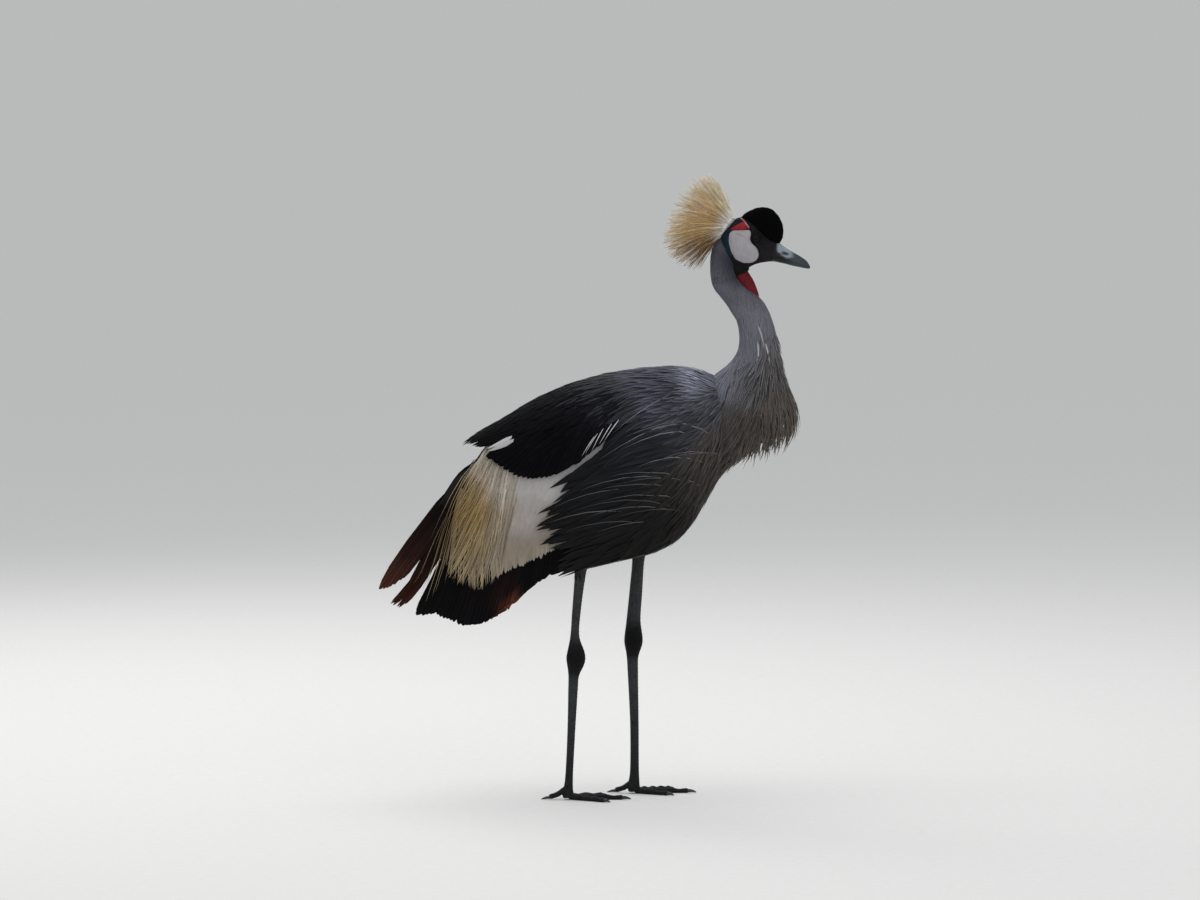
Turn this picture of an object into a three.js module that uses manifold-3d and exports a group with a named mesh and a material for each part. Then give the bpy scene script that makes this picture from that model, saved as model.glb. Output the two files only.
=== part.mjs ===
// Grey crowned crane (Balearica regulorum), an adult standing still, life size.
// Millimetres, +Z up, the floor at z = 0. The bird faces +X and its left side is +Y.
import * as THREE from "three";
import { LoftGeometry } from "three/addons/geometries/LoftGeometry.js";
import { mergeVertices } from "three/addons/utils/BufferGeometryUtils.js";
import Module from "manifold-3d";

// Driving dimensions
const GAP = 0.3; // between pieces that touch
const RIGHT = -1;
const LEFT = 1;
const SIDES = { right: RIGHT, left: LEFT };

const VANE = 0.8; // thickness of a feather's vane
const VANE_TIP = 0.5;

// Trunk: [x, back, belly, half width], from the breast to the rump.
const TRUNK = [
  [234, 630, 578, 12],
  [216, 664, 540, 40],
  [190, 682, 510, 60],
  [162, 689, 462, 75],
  [130, 690, 414, 85],
  [85, 688, 400, 94],
  [25, 681, 387, 99],
  [-35, 663, 381, 97],
  [-90, 640, 382, 87],
  [-140, 605, 390, 70],
  [-180, 560, 404, 48],
  [-208, 500, 430, 20],
];

// Neck: [x, middle height, half depth, half width], from inside the head to inside the breast.
const NECK = [
  [210, 880, 20, 15],
  [206, 861, 21, 17],
  [207, 830, 20.4, 18],
  [216, 816, 20, 18],
  [227, 804, 21.5, 19],
  [238, 792, 24.5, 21],
  [250, 777, 26.5, 23],
  [258, 755, 28, 24],
  [262, 730, 31, 26],
  [262, 704, 37, 31],
  [254, 672, 49, 40],
  [236, 637, 62, 52],
  [214, 606, 58, 52],
  [190, 584, 46, 44],
];
const NECK_PARTING = 768; // between the upper and the lower neck
const NECK_FOOT = 700; // between the lower neck and the breast

// Bib: the breast under its plumes, hanging from the foot of the neck.
const BIB = [
  [259, 705, 36, 31],
  [263, 670, 43, 41],
  [267, 638, 45, 48],
  [264, 610, 43, 49],
  [250, 588, 35, 42],
  [232, 573, 22, 30],
];

// Surface that the breast plumes lie on: [z, front, middle, half width].
const PLUME_SURFACE = [
  [530, 262, 205, 34],
  [560, 290, 222, 46],
  [590, 312, 238, 55],
  [620, 317, 248, 56],
  [650, 312, 252, 51],
  [680, 303, 256, 42],
  [705, 297.5, 259, 33],
  [735, 293, 261, 27],
  [770, 283.5, 255, 24],
];
const PLUME_RADIUS = 45; // turns a width round the neck into an angle

// Head: [x, crown, throat, half width], from the nape to the root of the bill.
const HEAD = [
  [200, 892, 872, 7],
  [206, 908, 860, 14],
  [216, 919, 855, 20],
  [228, 928, 848, 24],
  [242, 930, 848, 26],
  [258, 925, 855, 25],
  [272, 912, 858, 20.5],
  [284, 899, 859, 15.5],
  [298, 887, 857, 11.8],
];
const BILL_PARTING = 295; // where the horn of the bill starts

// Bill: [x, culmen height, height of the gape, lower edge, half width].
const BILL = [
  [295.3, 889, 865, 857.5, 12],
  [305, 881.5, 861.5, 855, 9.6],
  [316, 874.5, 857.8, 852, 7.4],
  [328, 867.5, 853.8, 849.6, 5.4],
  [338, 860.5, 850.6, 847.6, 3.6],
  [343.6, 853, 848.8, 847.2, 1.6],
];

const EYE = { at: [257, 20.5, 896], radius: 6.6, lid: 6.4, fold: 1.5 };
const MOUTH = { from: 270, to: 297, height: 866, slope: 0.1, width: 0.9, depth: 1.4 };
const NOSTRIL = { at: [308, 8.6, 870.5], radii: [6.5, 2, 2] };
const CAP = { at: [270, 0, 915], radii: [32, 21, 30] };
const CHEEK = { at: [238, 17.5, 884], radii: [24, 11, 27] };
const CREST = {
  apex: [216, 0, 902],
  base: { at: [206, 0, 909], radii: [13, 13, 17] },
  start: 13,
  length: 97,
  lean: 164,
  spread: 56,
  sideSpread: 38,
  count: 68,
  radius: 1,
};
const WATTLE = [
  [233, 851, 5, 5],
  [240, 838, 7, 7.5],
  [249, 823, 8, 9],
  [256, 811, 7.5, 8.5],
  [261, 803, 4, 5],
];

// Outline of the folded wings and the flanks, as functions of x.
const BACK_LINE = [
  [-345, 430], [-300, 476], [-250, 532], [-204, 574], [-151, 606], [-87, 643],
  [-23, 669], [41, 684], [105, 691], [150, 690], [200, 670], [240, 630],
];
const WIDEST_LINE = [
  [-345, 335], [-300, 350], [-250, 388], [-204, 420], [-151, 460], [-87, 500],
  [-23, 525], [41, 540], [105, 552], [150, 566], [200, 585], [240, 595],
];
const LOWER_LINE = [
  [-345, 300], [-300, 285], [-204, 278], [-151, 290], [-87, 345], [-23, 372],
  [41, 388], [105, 405], [150, 440], [200, 520], [240, 560],
];
const FLANK_WIDTH = [
  [-345, 40], [-300, 54], [-250, 66], [-204, 79], [-151, 92], [-87, 107],
  [-23, 117], [41, 120], [105, 112], [150, 92], [185, 67], [215, 44], [240, 28],
];

// Sheets on that outline: [top x, top z, bottom x, bottom z, thickness].
// The wing's whole reach, feathers and all, is kept clear of the pieces round it.
const REAR = [-150, 70]; // behind this x, and over this length, layers shift sideways only
const WING_REACH = [
  [98, 634, 88, 536, 20],
  [54, 648, 45, 455, 30],
  [0, 642, -10, 400, 34],
  [-60, 625, -60, 350, 32],
  [-120, 594, -95, 315, 28],
  [-176, 566, -130, 275, 24],
  [-244, 532, -170, 260, 20],
  [-318, 466, -225, 252, 20],
  [-392, 360, -300, 258, 20],
];
const WING_ARM = [
  [95, 626, 86, 545, 12],
  [52, 640, 43, 462, 16],
  [0, 634, -10, 420, 18],
  [-60, 616, -58, 392, 16],
  [-120, 586, -98, 366, 15],
  [-170, 555, -135, 340, 15],
  [-210, 527, -168, 324, 15],
  [-240, 486, -206, 322, 12],
  [-262, 446, -232, 340, 9],
];
const SCAPULARS = [
  [176, 650, 176, 638, 5],
  [146, 676, 142, 616, 8],
  [104, 687, 88, 606, 10],
  [50, 682, 20, 592, 10],
  [-10, 668, -36, 560, 10],
  [-60, 650, -78, 545, 10],
  [-106, 625, -116, 550, 9],
  [-150, 602, -152, 574, 7],
];
const FLANK = [
  [172, 610, 160, 480, 40],
  [120, 600, 130, 427, 45],
  [60, 575, 75, 408, 45],
  [15, 540, 30, 395, 45],
  [-15, 500, -5, 388, 40],
  [-36, 462, -30, 402, 30],
];
const WING_DEPTH = 5; // of the wing's surface under the scapulars and the flank
const ARM_DEPTH = [8.4, 19, 0.6]; // of the wing's arm at its top and foot, and the share it takes

// Feather outlines: [share of the length, share of the width].
const BLUNT = [[0, 0.55], [0.35, 1], [0.86, 0.95], [1, 0.4]];
const POINTED = [[0, 0.5], [0.35, 1], [0.8, 0.7], [1, 0.08]];
const SLENDER = [[0, 0.6], [0.4, 1], [1, 0.1]];

// Fans of feathers on the flank surface: roots and tips as lines of [x, z] from rear to front.
const WING_FANS = {
  primaries: {
    count: 4, width: 16, lift: -18, sink: 3, roll: 1, shape: POINTED,
    roots: [[-208, 508], [-196, 440]],
    tips: [[-347, 350], [-328, 322], [-311, 305], [-292, 300]],
  },
  secondaries: {
    count: 7, width: 23, lift: -14.4, sink: 8, roll: 2, shape: BLUNT,
    roots: [[-196, 465], [-55, 428]],
    tips: [[-282, 297], [-228, 285], [-186, 276], [-152, 292], [-116, 331], [-78, 352], [-46, 362]],
  },
  lower_coverts: {
    count: 4, width: 20, lift: -11, sink: 8, roll: 1.6, shape: BLUNT,
    roots: [[-150, 505], [-62, 485]],
    tips: [[-156, 379], [-122, 400], [-90, 409], [-62, 420]],
  },
  upper_coverts: {
    count: 3, width: 23, lift: -8.6, sink: 7, roll: 1.6, shape: BLUNT,
    roots: [[-122, 560], [-30, 572]],
    tips: [[-134, 442], [-100, 452], [-68, 474], [-48, 502]],
  },
  golden_plumes: {
    count: 5, width: 10, lift: -8.6, sink: 9, roll: 1.4, shape: SLENDER,
    roots: [[-200, 528], [-168, 522]],
    tips: [[-260, 372], [-236, 358], [-210, 345], [-186, 342], [-162, 356]],
  },
};
const SCAPULAR_FANS = {
  upper_lobe: {
    count: 3, width: 12, lift: 0.4, sink: 4.5, shape: POINTED,
    roots: [[-110, 618], [-106, 584]],
    tips: [[-206, 574], [-192, 571], [-178, 565]],
  },
  lower_lobe: {
    count: 5, width: 14, lift: 0.4, sink: 4.5, shape: POINTED,
    roots: [[-92, 578], [28, 622]],
    tips: [[-166, 556], [-128, 526], [-84, 520], [-36, 543], [6, 577]],
  },
};
const FLANK_FANS = {
  long_plumes: {
    count: 5, width: 12, lift: -0.4, sink: 5.5, shape: SLENDER,
    roots: [[95, 585], [40, 470]],
    tips: [[-8, 554], [-54, 500], [-80, 478], [-88, 446]],
  },
  belly_plumes: {
    count: 3, width: 13, lift: -0.4, sink: 5.5, shape: SLENDER,
    roots: [[40, 455], [60, 420]],
    tips: [[-88, 416], [-62, 396], [-34, 374], [-8, 372]],
  },
  shoulder_plumes: {
    count: 5, width: 17, lift: 1.6, sink: 4, shape: SLENDER,
    roots: [[158, 590], [138, 455]],
    tips: [[52, 570], [20, 520], [12, 465], [22, 415], [44, 394]],
  },
};

// Breast plumes: tiers of count feathers from height to height, out to an angle either side.
const PLUME_TIERS = [
  { count: 9, from: 640, to: [588, 536], reach: 108, width: 12, lift: 3.4, flare: 6 },
  { count: 6, from: 690, to: [612, 600], reach: 98, width: 14, lift: 6.5, flare: 3 },
];

// Tail: a short wedge and its feathers, laid out on a plane that slopes down to the rear.
const TAIL = [
  [-178, 452, 30, 24],
  [-200, 425, 18, 24],
  [-222, 392, 10, 24],
  [-240, 366, 6, 22],
];
const TAIL_FEATHERS = { count: 5, root: [-205, 418], slope: 56, length: 136, spread: 20, width: 9 };

// Legs: [x, distance from the middle, z, half depth, half width], from thigh to foot.
const LEGS = {
  right: [
    [2, 52, 450, 40, 34],
    [-10, 52, 415, 25, 24],
    [-18, 51, 388, 13, 13],
    [-21, 50, 366, 9, 9],
    [-25, 49, 300, 7.2, 6.8],
    [-27.5, 48, 262, 6.6, 6.4],
    [-29, 47, 236, 14.6, 10.5],
    [-30, 46.5, 216, 8.5, 7.2],
    [-32, 46, 190, 7.2, 6],
    [-37, 45, 110, 6.3, 5.4],
    [-41, 44, 34, 6.8, 6],
    [-42, 44, 16, 9.5, 8.5],
    [-41, 44, 3, 10, 9.5],
  ],
  left: [
    [66, 50, 440, 44, 34],
    [70, 50, 418, 32, 27],
    [72, 49, 398, 17, 15],
    [72.3, 48, 378, 10, 9.6],
    [69, 47, 320, 8.8, 7.6],
    [64, 46, 275, 8, 7],
    [61.5, 45, 248, 14.4, 10.5],
    [62, 44.5, 228, 9, 7.6],
    [62.5, 44, 205, 7.6, 6.2],
    [63, 43, 110, 6.8, 5.6],
    [63.5, 42, 34, 7, 6],
    [63, 42, 16, 9.8, 8.5],
    [64, 42, 3, 10, 9.5],
  ],
};
const THIGH_PARTING = { right: 348, left: 376 };
const HOCK_PARTING = { right: 252, left: 264 };

// Toes: degrees from straight ahead, outwards positive; length, claw and number of joints.
const TOE_RADIUS = 5.2;
const TOES = {
  inner: { heading: -32, length: 58, claw: 13, joints: 2 },
  middle: { heading: 3, length: 82, claw: 14, joints: 3 },
  outer: { heading: 36, length: 66, claw: 12, joints: 4 },
};
const HIND_TOE = { heading: 172, length: 30, claw: 14, height: 20 };

// Feathers, skin and horn
const SLATE = { color: 0x6d7079, roughness: 0.75 };
const DARK = { color: 0x2a2c31, roughness: 0.7 };
const WHITE = { color: 0xcfcac4, roughness: 0.8 };
const VELVET = { color: 0x0b0b0c, roughness: 0.95 };
const STRAW = { color: 0xc6a35f, roughness: 0.6 };
const RED_SKIN = { color: 0x8e2c33, roughness: 0.55 };
const HORN = { color: 0x4b5458, roughness: 0.45 };
const EYE_GLOSS = { color: 0x1b2026, roughness: 0.1 };
const SCALE = { color: 0x303336, roughness: 0.6 };

const wasm = await Module();
wasm.setup();

// A smooth function through the table's points, level past its ends.
function profile(table) {
  const last = table.length - 1;
  const slope = (i) => {
    const [a, b] = [table[Math.max(i - 1, 0)], table[Math.min(i + 1, last)]];
    return (b[1] - a[1]) / (b[0] - a[0]);
  };
  return (x) => {
    if (x <= table[0][0]) return table[0][1];
    if (x >= table[last][0]) return table[last][1];
    const i = table.findIndex((row) => row[0] > x) - 1;
    const width = table[i + 1][0] - table[i][0];
    const t = (x - table[i][0]) / width;
    const ease = t * t * (3 - 2 * t);
    const bend = slope(i) * t * (1 - t) ** 2 - slope(i + 1) * t * t * (1 - t);
    return table[i][1] + (table[i + 1][1] - table[i][1]) * ease + bend * width;
  };
}

// Rows of numbers with smooth rows put in between them.
function smoothRows(rows, steps) {
  const at = (i) => rows[Math.min(Math.max(i, 0), rows.length - 1)];
  return Array.from({ length: steps + 1 }, (_, k) => {
    const s = (k / steps) * (rows.length - 1);
    const i = Math.min(Math.floor(s), rows.length - 2);
    const t = s - i;
    return rows[0].map((_, c) => {
      const [a, b, d, e] = [at(i - 1)[c], at(i)[c], at(i + 1)[c], at(i + 2)[c]];
      return b + 0.5 * t * (d - a + t * (2 * a - 5 * b + 4 * d - e + t * (3 * (b - d) + e - a)));
    });
  });
}

// A closed geometry as a solid that faces out.
function solidOf(geometry) {
  const bare = new THREE.BufferGeometry();
  bare.setAttribute("position", geometry.getAttribute("position"));
  bare.setIndex(geometry.index);
  const merged = mergeVertices(bare, 1e-4);
  const index = merged.index.array;
  const triangles = [];
  for (let i = 0; i < index.length; i += 3) {
    const [a, b, c] = [index[i], index[i + 1], index[i + 2]];
    if (a !== b && b !== c && c !== a) triangles.push([a, b, c]);
  }
  const make = (list) =>
    new wasm.Manifold(
      new wasm.Mesh({
        numProp: 3,
        vertProperties: merged.getAttribute("position").array,
        triVerts: Uint32Array.from(list.flat()),
      }),
    );
  const made = make(triangles);
  return made.volume() < 0 ? make(triangles.map((t) => [t[0], t[2], t[1]])) : made;
}

const unite = (solids) => solids.reduce((whole, solid) => whole.add(solid));
const cut = (solid, tools) => tools.reduce((whole, tool) => whole.subtract(tool), solid);
const largest = (solid) =>
  solid.decompose().reduce((best, s) => (s.volume() > best.volume() ? s : best));
const mirrored = ([x, y, z], side) => [x, side * y, z];

// A loft through rows of [x, y, z, half depth, half width], the width lying along Y.
// Upright sections stand in planes across X, others across the way of the loft.
function tube(rows, { sides = 20, power = 2, grow = 0, upright = false } = {}) {
  const last = rows.length - 1;
  const points = rows.map(([x, y, z]) => new THREE.Vector3(x, y, z));
  const sections = rows.map((row, i) => {
    const before = points[Math.max(i - 1, 0)];
    const after = points[Math.min(i + 1, last)];
    const along = after.clone().sub(before);
    if (upright) along.set(along.x, 0, 0);
    along.normalize();
    const side = new THREE.Vector3(0, 1, 0).addScaledVector(along, -along.y).normalize();
    const up = new THREE.Vector3().crossVectors(along, side);
    const middle = points[i].clone();
    if (i === 0) middle.addScaledVector(along, -grow);
    if (i === last) middle.addScaledVector(along, grow);
    return Array.from({ length: sides }, (_, j) => {
      const angle = (2 * Math.PI * j) / sides;
      const [c, s] = [Math.cos(angle), Math.sin(angle)];
      const across = Math.sign(c) * Math.abs(c) ** (2 / power) * (row[4] + grow);
      const high = Math.sign(s) * Math.abs(s) ** (2 / power) * (row[3] + grow);
      return middle.clone().addScaledVector(side, across).addScaledVector(up, high);
    });
  });
  return solidOf(new LoftGeometry(sections, { capStart: true, capEnd: true }));
}

const centred = (rows) => rows.map(([x, z, depth, width]) => [x, 0, z, depth, width]);

function ellipsoid([x, y, z], [rx, ry, rz], detail = 18) {
  const ball = new THREE.SphereGeometry(1, detail, Math.round(detail * 0.6));
  return solidOf(ball.scale(rx, ry, rz).translate(x, y, z));
}

// The bird's whole width between two heights.
function slab(low, high, reach = 800) {
  const box = new THREE.BoxGeometry(reach, reach, high - low);
  return solidOf(box.translate(0, 0, (low + high) / 2));
}

// A closed plate between two grids of points, both split into triangles alike.
function plate(rows, columns, outer, inner) {
  const positions = [];
  const faces = [];
  const id = (layer, i, j) => (layer * (rows + 1) + i) * (columns + 1) + j;
  const quad = (a, b, c, d) => faces.push(a, b, c, a, c, d);
  for (const grid of [outer, inner])
    for (let i = 0; i <= rows; i++)
      for (let j = 0; j <= columns; j++) positions.push(...grid(i / rows, j / columns).toArray());
  for (let i = 0; i < rows; i++)
    for (let j = 0; j < columns; j++) {
      const corners = [[i, j], [i + 1, j], [i + 1, j + 1], [i, j + 1]];
      const [a, b, c, d] = corners.map(([p, q]) => id(0, p, q));
      const [e, f, g, h] = corners.map(([p, q]) => id(1, p, q));
      faces.push(a, b, c, a, c, d, e, g, f, e, h, g);
    }
  for (let i = 0; i < rows; i++) {
    quad(id(0, i, 0), id(1, i, 0), id(1, i + 1, 0), id(0, i + 1, 0));
    quad(id(0, i + 1, columns), id(1, i + 1, columns), id(1, i, columns), id(0, i, columns));
  }
  for (let j = 0; j < columns; j++) {
    quad(id(0, 0, j + 1), id(1, 0, j + 1), id(1, 0, j), id(0, 0, j));
    quad(id(0, rows, j), id(1, rows, j), id(1, rows, j + 1), id(0, rows, j + 1));
  }
  const geometry = new THREE.BufferGeometry();
  geometry.setAttribute("position", new THREE.Float32BufferAttribute(positions, 3));
  geometry.setIndex(faces);
  return solidOf(geometry);
}

const [backLine, widestLine, lowerLine, flankWidth] =
  [BACK_LINE, WIDEST_LINE, LOWER_LINE, FLANK_WIDTH].map(profile);

// How far the surface of wing and flank stands from the bird's middle plane.
function flankY(x, z) {
  const middle = widestLine(x);
  if (z >= middle) {
    const u = Math.min((z - middle) / (backLine(x) - middle), 0.985);
    return flankWidth(x) * (1 - u ** 2.2) ** (1 / 2.2);
  }
  const v = Math.min((middle - z) / (middle - lowerLine(x)), 1.3);
  return flankWidth(x) * (1 - 0.3 * v * v);
}

// A point on that surface, lifted along its normal, on one side of the bird.
function onFlank(side, x, z, lift) {
  const step = 2;
  const slopeX = (flankY(x + step, z) - flankY(x - step, z)) / (2 * step);
  const slopeZ = (flankY(x, z + step) - flankY(x, z - step)) / (2 * step);
  const outward = new THREE.Vector3(-slopeX, 1, -slopeZ).normalize();
  const rear = THREE.MathUtils.clamp((REAR[0] - x) / REAR[1], 0, 1);
  outward.lerp(new THREE.Vector3(0, 1, 0), rear).normalize();
  const point = new THREE.Vector3(x, flankY(x, z), z).addScaledVector(outward, lift);
  point.y *= side;
  return point;
}

// A sheet on that surface, its face at a depth under it, grown on every side by grow.
function sheet(rows, side, { depth = () => 0, grow = 0, steps = 18, columns = 8 } = {}) {
  const smooth = smoothRows(rows, steps);
  const at = (u, v, inside) => {
    const [topX, topZ, bottomX, bottomZ, thickness] = smooth[Math.round(u * steps)];
    const end = u === 0 ? grow : u === 1 ? -grow : 0;
    const x = bottomX + (topX - bottomX) * v + end;
    const z = bottomZ + (topZ - bottomZ) * v + grow * (2 * v - 1);
    return onFlank(side, x, z, inside ? -depth(v) - thickness - grow : grow - depth(v));
  };
  return plate(steps, columns, (u, v) => at(u, v, false), (u, v) => at(u, v, true));
}

// A feather laid on a surface, its root sunk under it: at(a, b, lift) is a point over the surface.
function feather(at, options) {
  const { from, to, width, lift, sink, shape, roll = 0.6, flare = 0, grow = 0 } = options;
  const [da, db] = [to[0] - from[0], to[1] - from[1]];
  const length = Math.hypot(da, db);
  const rows = shape.length - 1;
  const point = (u, v, under) => {
    const [t, share] = shape[Math.round(u * rows)];
    const end = u === 0 ? -grow : u === 1 ? grow : 0;
    const across = (2 * v - 1) * (width * share + grow);
    const way = t + end / length;
    const thickness = VANE + (VANE_TIP - VANE) * t;
    const height = lift + roll * (2 * v - 1) + flare * t * t - (t === 0 ? sink : 0);
    return at(
      from[0] + da * way - (db / length) * across,
      from[1] + db * way + (da / length) * across,
      under ? height - thickness - grow : height + grow,
    );
  };
  return plate(rows, 1, (u, v) => point(u, v, false), (u, v) => point(u, v, true));
}

// Fans of feathers on one flank, their roots and tips spread along two lines.
function flankFans(fans, side, grow = 0) {
  const at = (x, z, lift) => onFlank(side, x, z, lift);
  return Object.values(fans).flatMap(({ count, roots, tips, ...rest }) => {
    const to = smoothRows(tips, count - 1);
    return smoothRows(roots, count - 1).map((from, i) => feather(at, { ...rest, from, to: to[i], grow }));
  });
}

const uprightRows = (rows) =>
  rows.map(([x, top, bottom, width]) => [x, 0, (top + bottom) / 2, (top - bottom) / 2, width]);
const trunk = (grow = 0) =>
  tube(smoothRows(uprightRows(TRUNK), 12), { sides: 16, power: 2.15, grow, upright: true });
const neck = (grow = 0) => tube(smoothRows(centred(NECK), 18), { sides: 14, grow });
const bib = (grow = 0) => tube(smoothRows(centred(BIB), 6), { sides: 14, grow });
const skull = (grow = 0) =>
  tube(smoothRows(uprightRows(HEAD), 11), { sides: 16, power: 2.1, grow, upright: true });
const wingReach = (side, grow) =>
  sheet(WING_REACH, side, { depth: () => WING_DEPTH, grow, steps: 9, columns: 7 });
const wingArm = (side) => {
  const [top, low, share] = ARM_DEPTH;
  const depth = (v) => Math.min(top + ((low - top) * (1 - v)) / share, low);
  return sheet(WING_ARM, side, { depth, steps: 8, columns: 5 });
};
const flank = (side, grow = 0) => sheet(FLANK, side, { depth: () => 2.8, grow, steps: 9, columns: 5 });
const scapulars = (side) => sheet(SCAPULARS, side, { depth: () => 2.6, steps: 7, columns: 3 });
const leg = (name, grow = 0) => {
  const rows = LEGS[name].map(([x, y, ...rest]) => [x, SIDES[name] * y, ...rest]);
  return tube(smoothRows(rows, 18), { sides: 9, grow });
};

const headBlock = skull(GAP);
const trunkBlock = trunk(GAP).add(neck(GAP).intersect(slab(400, NECK_FOOT + GAP))).add(bib(GAP));
const neckBlock = neck(GAP);

// Head: the skull with its lids, eye hollows and the line of the mouth.
function buildHead() {
  const lidAt = (side) => {
    const ring = new THREE.TorusGeometry(EYE.lid, EYE.fold, 5, 10).rotateX(Math.PI / 2);
    const [x, , z] = EYE.at;
    return solidOf(ring.rotateZ(-0.16 * side).translate(x, side * 24.2, z));
  };
  const hollowAt = (side) => ellipsoid(mirrored(EYE.at, side), Array(3).fill(EYE.radius + GAP), 10);
  const length = MOUTH.to - MOUTH.from;
  const slot = new THREE.BoxGeometry(length, 60, MOUTH.width).rotateY(MOUTH.slope);
  const groove = solidOf(slot.translate(MOUTH.from + length / 2, 0, MOUTH.height));
  const front = solidOf(new THREE.BoxGeometry(60, 90, 90).translate(BILL_PARTING + 30, 0, 870));
  return cut(unite([skull(), lidAt(RIGHT), lidAt(LEFT)]), [
    front,
    hollowAt(RIGHT),
    hollowAt(LEFT),
    groove.subtract(skull(-MOUTH.depth)),
  ]);
}

// One half of the bill: an arched back over a level cutting edge.
function billHalf(upper) {
  const arc = 7;
  const sections = smoothRows(BILL, 9).map(([x, top, gape, bottom, width]) => {
    const edge = upper ? gape + GAP / 2 : gape - GAP / 2;
    const rise = (upper ? top : bottom) - edge;
    return Array.from({ length: arc + 1 }, (_, j) => {
      const angle = (Math.PI * (upper ? j : arc - j)) / arc;
      return new THREE.Vector3(x, Math.cos(angle) * width, edge + rise * Math.sin(angle));
    });
  });
  return solidOf(new LoftGeometry(sections, { capStart: true, capEnd: true }));
}

function buildUpperBill() {
  const slits = [RIGHT, LEFT].map((side) => ellipsoid(mirrored(NOSTRIL.at, side), NOSTRIL.radii, 8));
  return cut(billHalf(true), slits);
}

// Cap: the raised pad of velvet feathers on the forehead.
const cap = (grow = 0) => ellipsoid(CAP.at, CAP.radii.map((r) => r + grow), 14);

// A three-sided spine through points, from a radius down to a fine tip.
function spine(points, radius, tipRadius) {
  const last = points.length - 1;
  const sections = points.map((point, i) => {
    const along = points[Math.min(i + 1, last)].clone().sub(points[Math.max(i - 1, 0)]).normalize();
    const side = new THREE.Vector3(0, 1, 0).addScaledVector(along, -along.y).normalize();
    const up = new THREE.Vector3().crossVectors(along, side);
    const size = radius + (tipRadius - radius) * (i / last);
    return [0, 1, 2].map((j) => {
      const angle = (2 * Math.PI * j) / 3;
      const out = side.clone().multiplyScalar(Math.cos(angle)).addScaledVector(up, Math.sin(angle));
      return point.clone().addScaledVector(out, size);
    });
  });
  return solidOf(new LoftGeometry(sections, { capStart: true, capEnd: true }));
}

// Crest: a fan of stiff bristles from a small base on the nape, spread evenly by the golden angle.
function buildCrest() {
  const { apex, base, start, length, lean, spread, sideSpread, count, radius } = CREST;
  const golden = Math.PI * (3 - Math.sqrt(5));
  const rad = Math.PI / 180;
  const bristles = Array.from({ length: count }, (_, i) => {
    const reach = Math.sqrt((i + 0.5) / count);
    const tilt = reach * Math.cos(i * golden);
    const turn = reach * Math.sin(i * golden) * sideSpread * rad;
    const angle = (lean + tilt * spread) * rad;
    const way = new THREE.Vector3(Math.cos(angle), Math.tan(turn), Math.sin(angle)).normalize();
    const full = length * (1 - 0.06 * ((i * 7) % 5) / 4 - 0.1 * Math.max(tilt, 0) ** 2);
    const reaches = i % 2 ? [start, full] : [start, (start + full) / 2, full];
    const points = reaches.map((d) => {
      const point = new THREE.Vector3(...apex).addScaledVector(way, d);
      point.z += d === start || d === full ? 0 : 2;
      return point;
    });
    return spine(points, radius, radius * 0.42);
  });
  return unite([ellipsoid(base.at, base.radii, 8), ...bristles]);
}

const [plumeFront, plumeMiddle, plumeWidth] = [1, 2, 3].map((c) =>
  profile(PLUME_SURFACE.map((row) => [row[0], row[c]])),
);

// A point over the breast: a is the way round it from the front, b the height.
function onBreast(a, b, lift) {
  const angle = a / PLUME_RADIUS;
  const [middle, depth, width] = [plumeMiddle(b), plumeFront(b) - plumeMiddle(b), plumeWidth(b)];
  const normal = new THREE.Vector3(Math.cos(angle) / depth, Math.sin(angle) / width, 0).normalize();
  const x = middle + depth * Math.cos(angle);
  return new THREE.Vector3(x, width * Math.sin(angle), b).addScaledVector(normal, lift);
}

function breastPlumes() {
  return PLUME_TIERS.flatMap(({ count, from, to, reach, ...rest }) =>
    Array.from({ length: count }, (_, i) => {
      const share = (2 * i) / (count - 1) - 1;
      const round = ((share * reach * Math.PI) / 180) * PLUME_RADIUS;
      const tip = to[0] + (to[1] - to[0]) * Math.abs(share) + (i % 2) * 7;
      return feather(onBreast, {
        from: [round, from], to: [round * 0.94, tip], ...rest, sink: 11, shape: SLENDER,
      });
    }),
  );
}

function buildTail() {
  const { count, root, slope, length, spread, width } = TAIL_FEATHERS;
  const angle = (slope * Math.PI) / 180;
  const at = (y, down, lift) =>
    new THREE.Vector3(
      root[0] - Math.cos(angle) * down - Math.sin(angle) * lift,
      y,
      root[1] - Math.sin(angle) * down + Math.cos(angle) * lift,
    );
  const quills = Array.from({ length: count }, (_, i) => {
    const share = (2 * i) / (count - 1) - 1;
    const lift = 5 - 1.6 * Math.abs(i - (count - 1) / 2) + (i % 2 ? 0 : 0.1);
    return feather(at, {
      from: [share * spread * 0.7, 0], to: [share * spread, length - 10 * share * share],
      width, lift, sink: 5, shape: BLUNT, roll: 0,
    });
  });
  return unite([tube(smoothRows(centred(TAIL), 4), { sides: 10, power: 2.4 }), ...quills]);
}

// Toes: rows along a toe lying on the floor, and its claw.
function toeRows(side, [x, y], { heading, length, claw, joints }) {
  const turn = (heading * Math.PI) / 180;
  const along = (reach, z, r) => [x + Math.cos(turn) * reach, side * (y + Math.sin(turn) * reach), z, r, r];
  const start = 4;
  const steps = joints * 2;
  const pads = Array.from({ length: steps + 1 }, (_, i) => {
    const t = i / steps;
    const radius = TOE_RADIUS * (1 - 0.3 * t) * (1 + 0.13 * Math.cos(2 * Math.PI * t * joints));
    return along(start + length * t, radius * 0.78, radius);
  });
  const end = start + length;
  const nail = [[-3, 3.6, 2.8], [0.3, 3.5, 2.6], [0.7, 2.7, 1.7], [1, 1.2, 0.7]].map(([t, z, r]) =>
    along(end + (t < 0 ? t : claw * t), z, r),
  );
  return { pads, nail };
}

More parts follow.
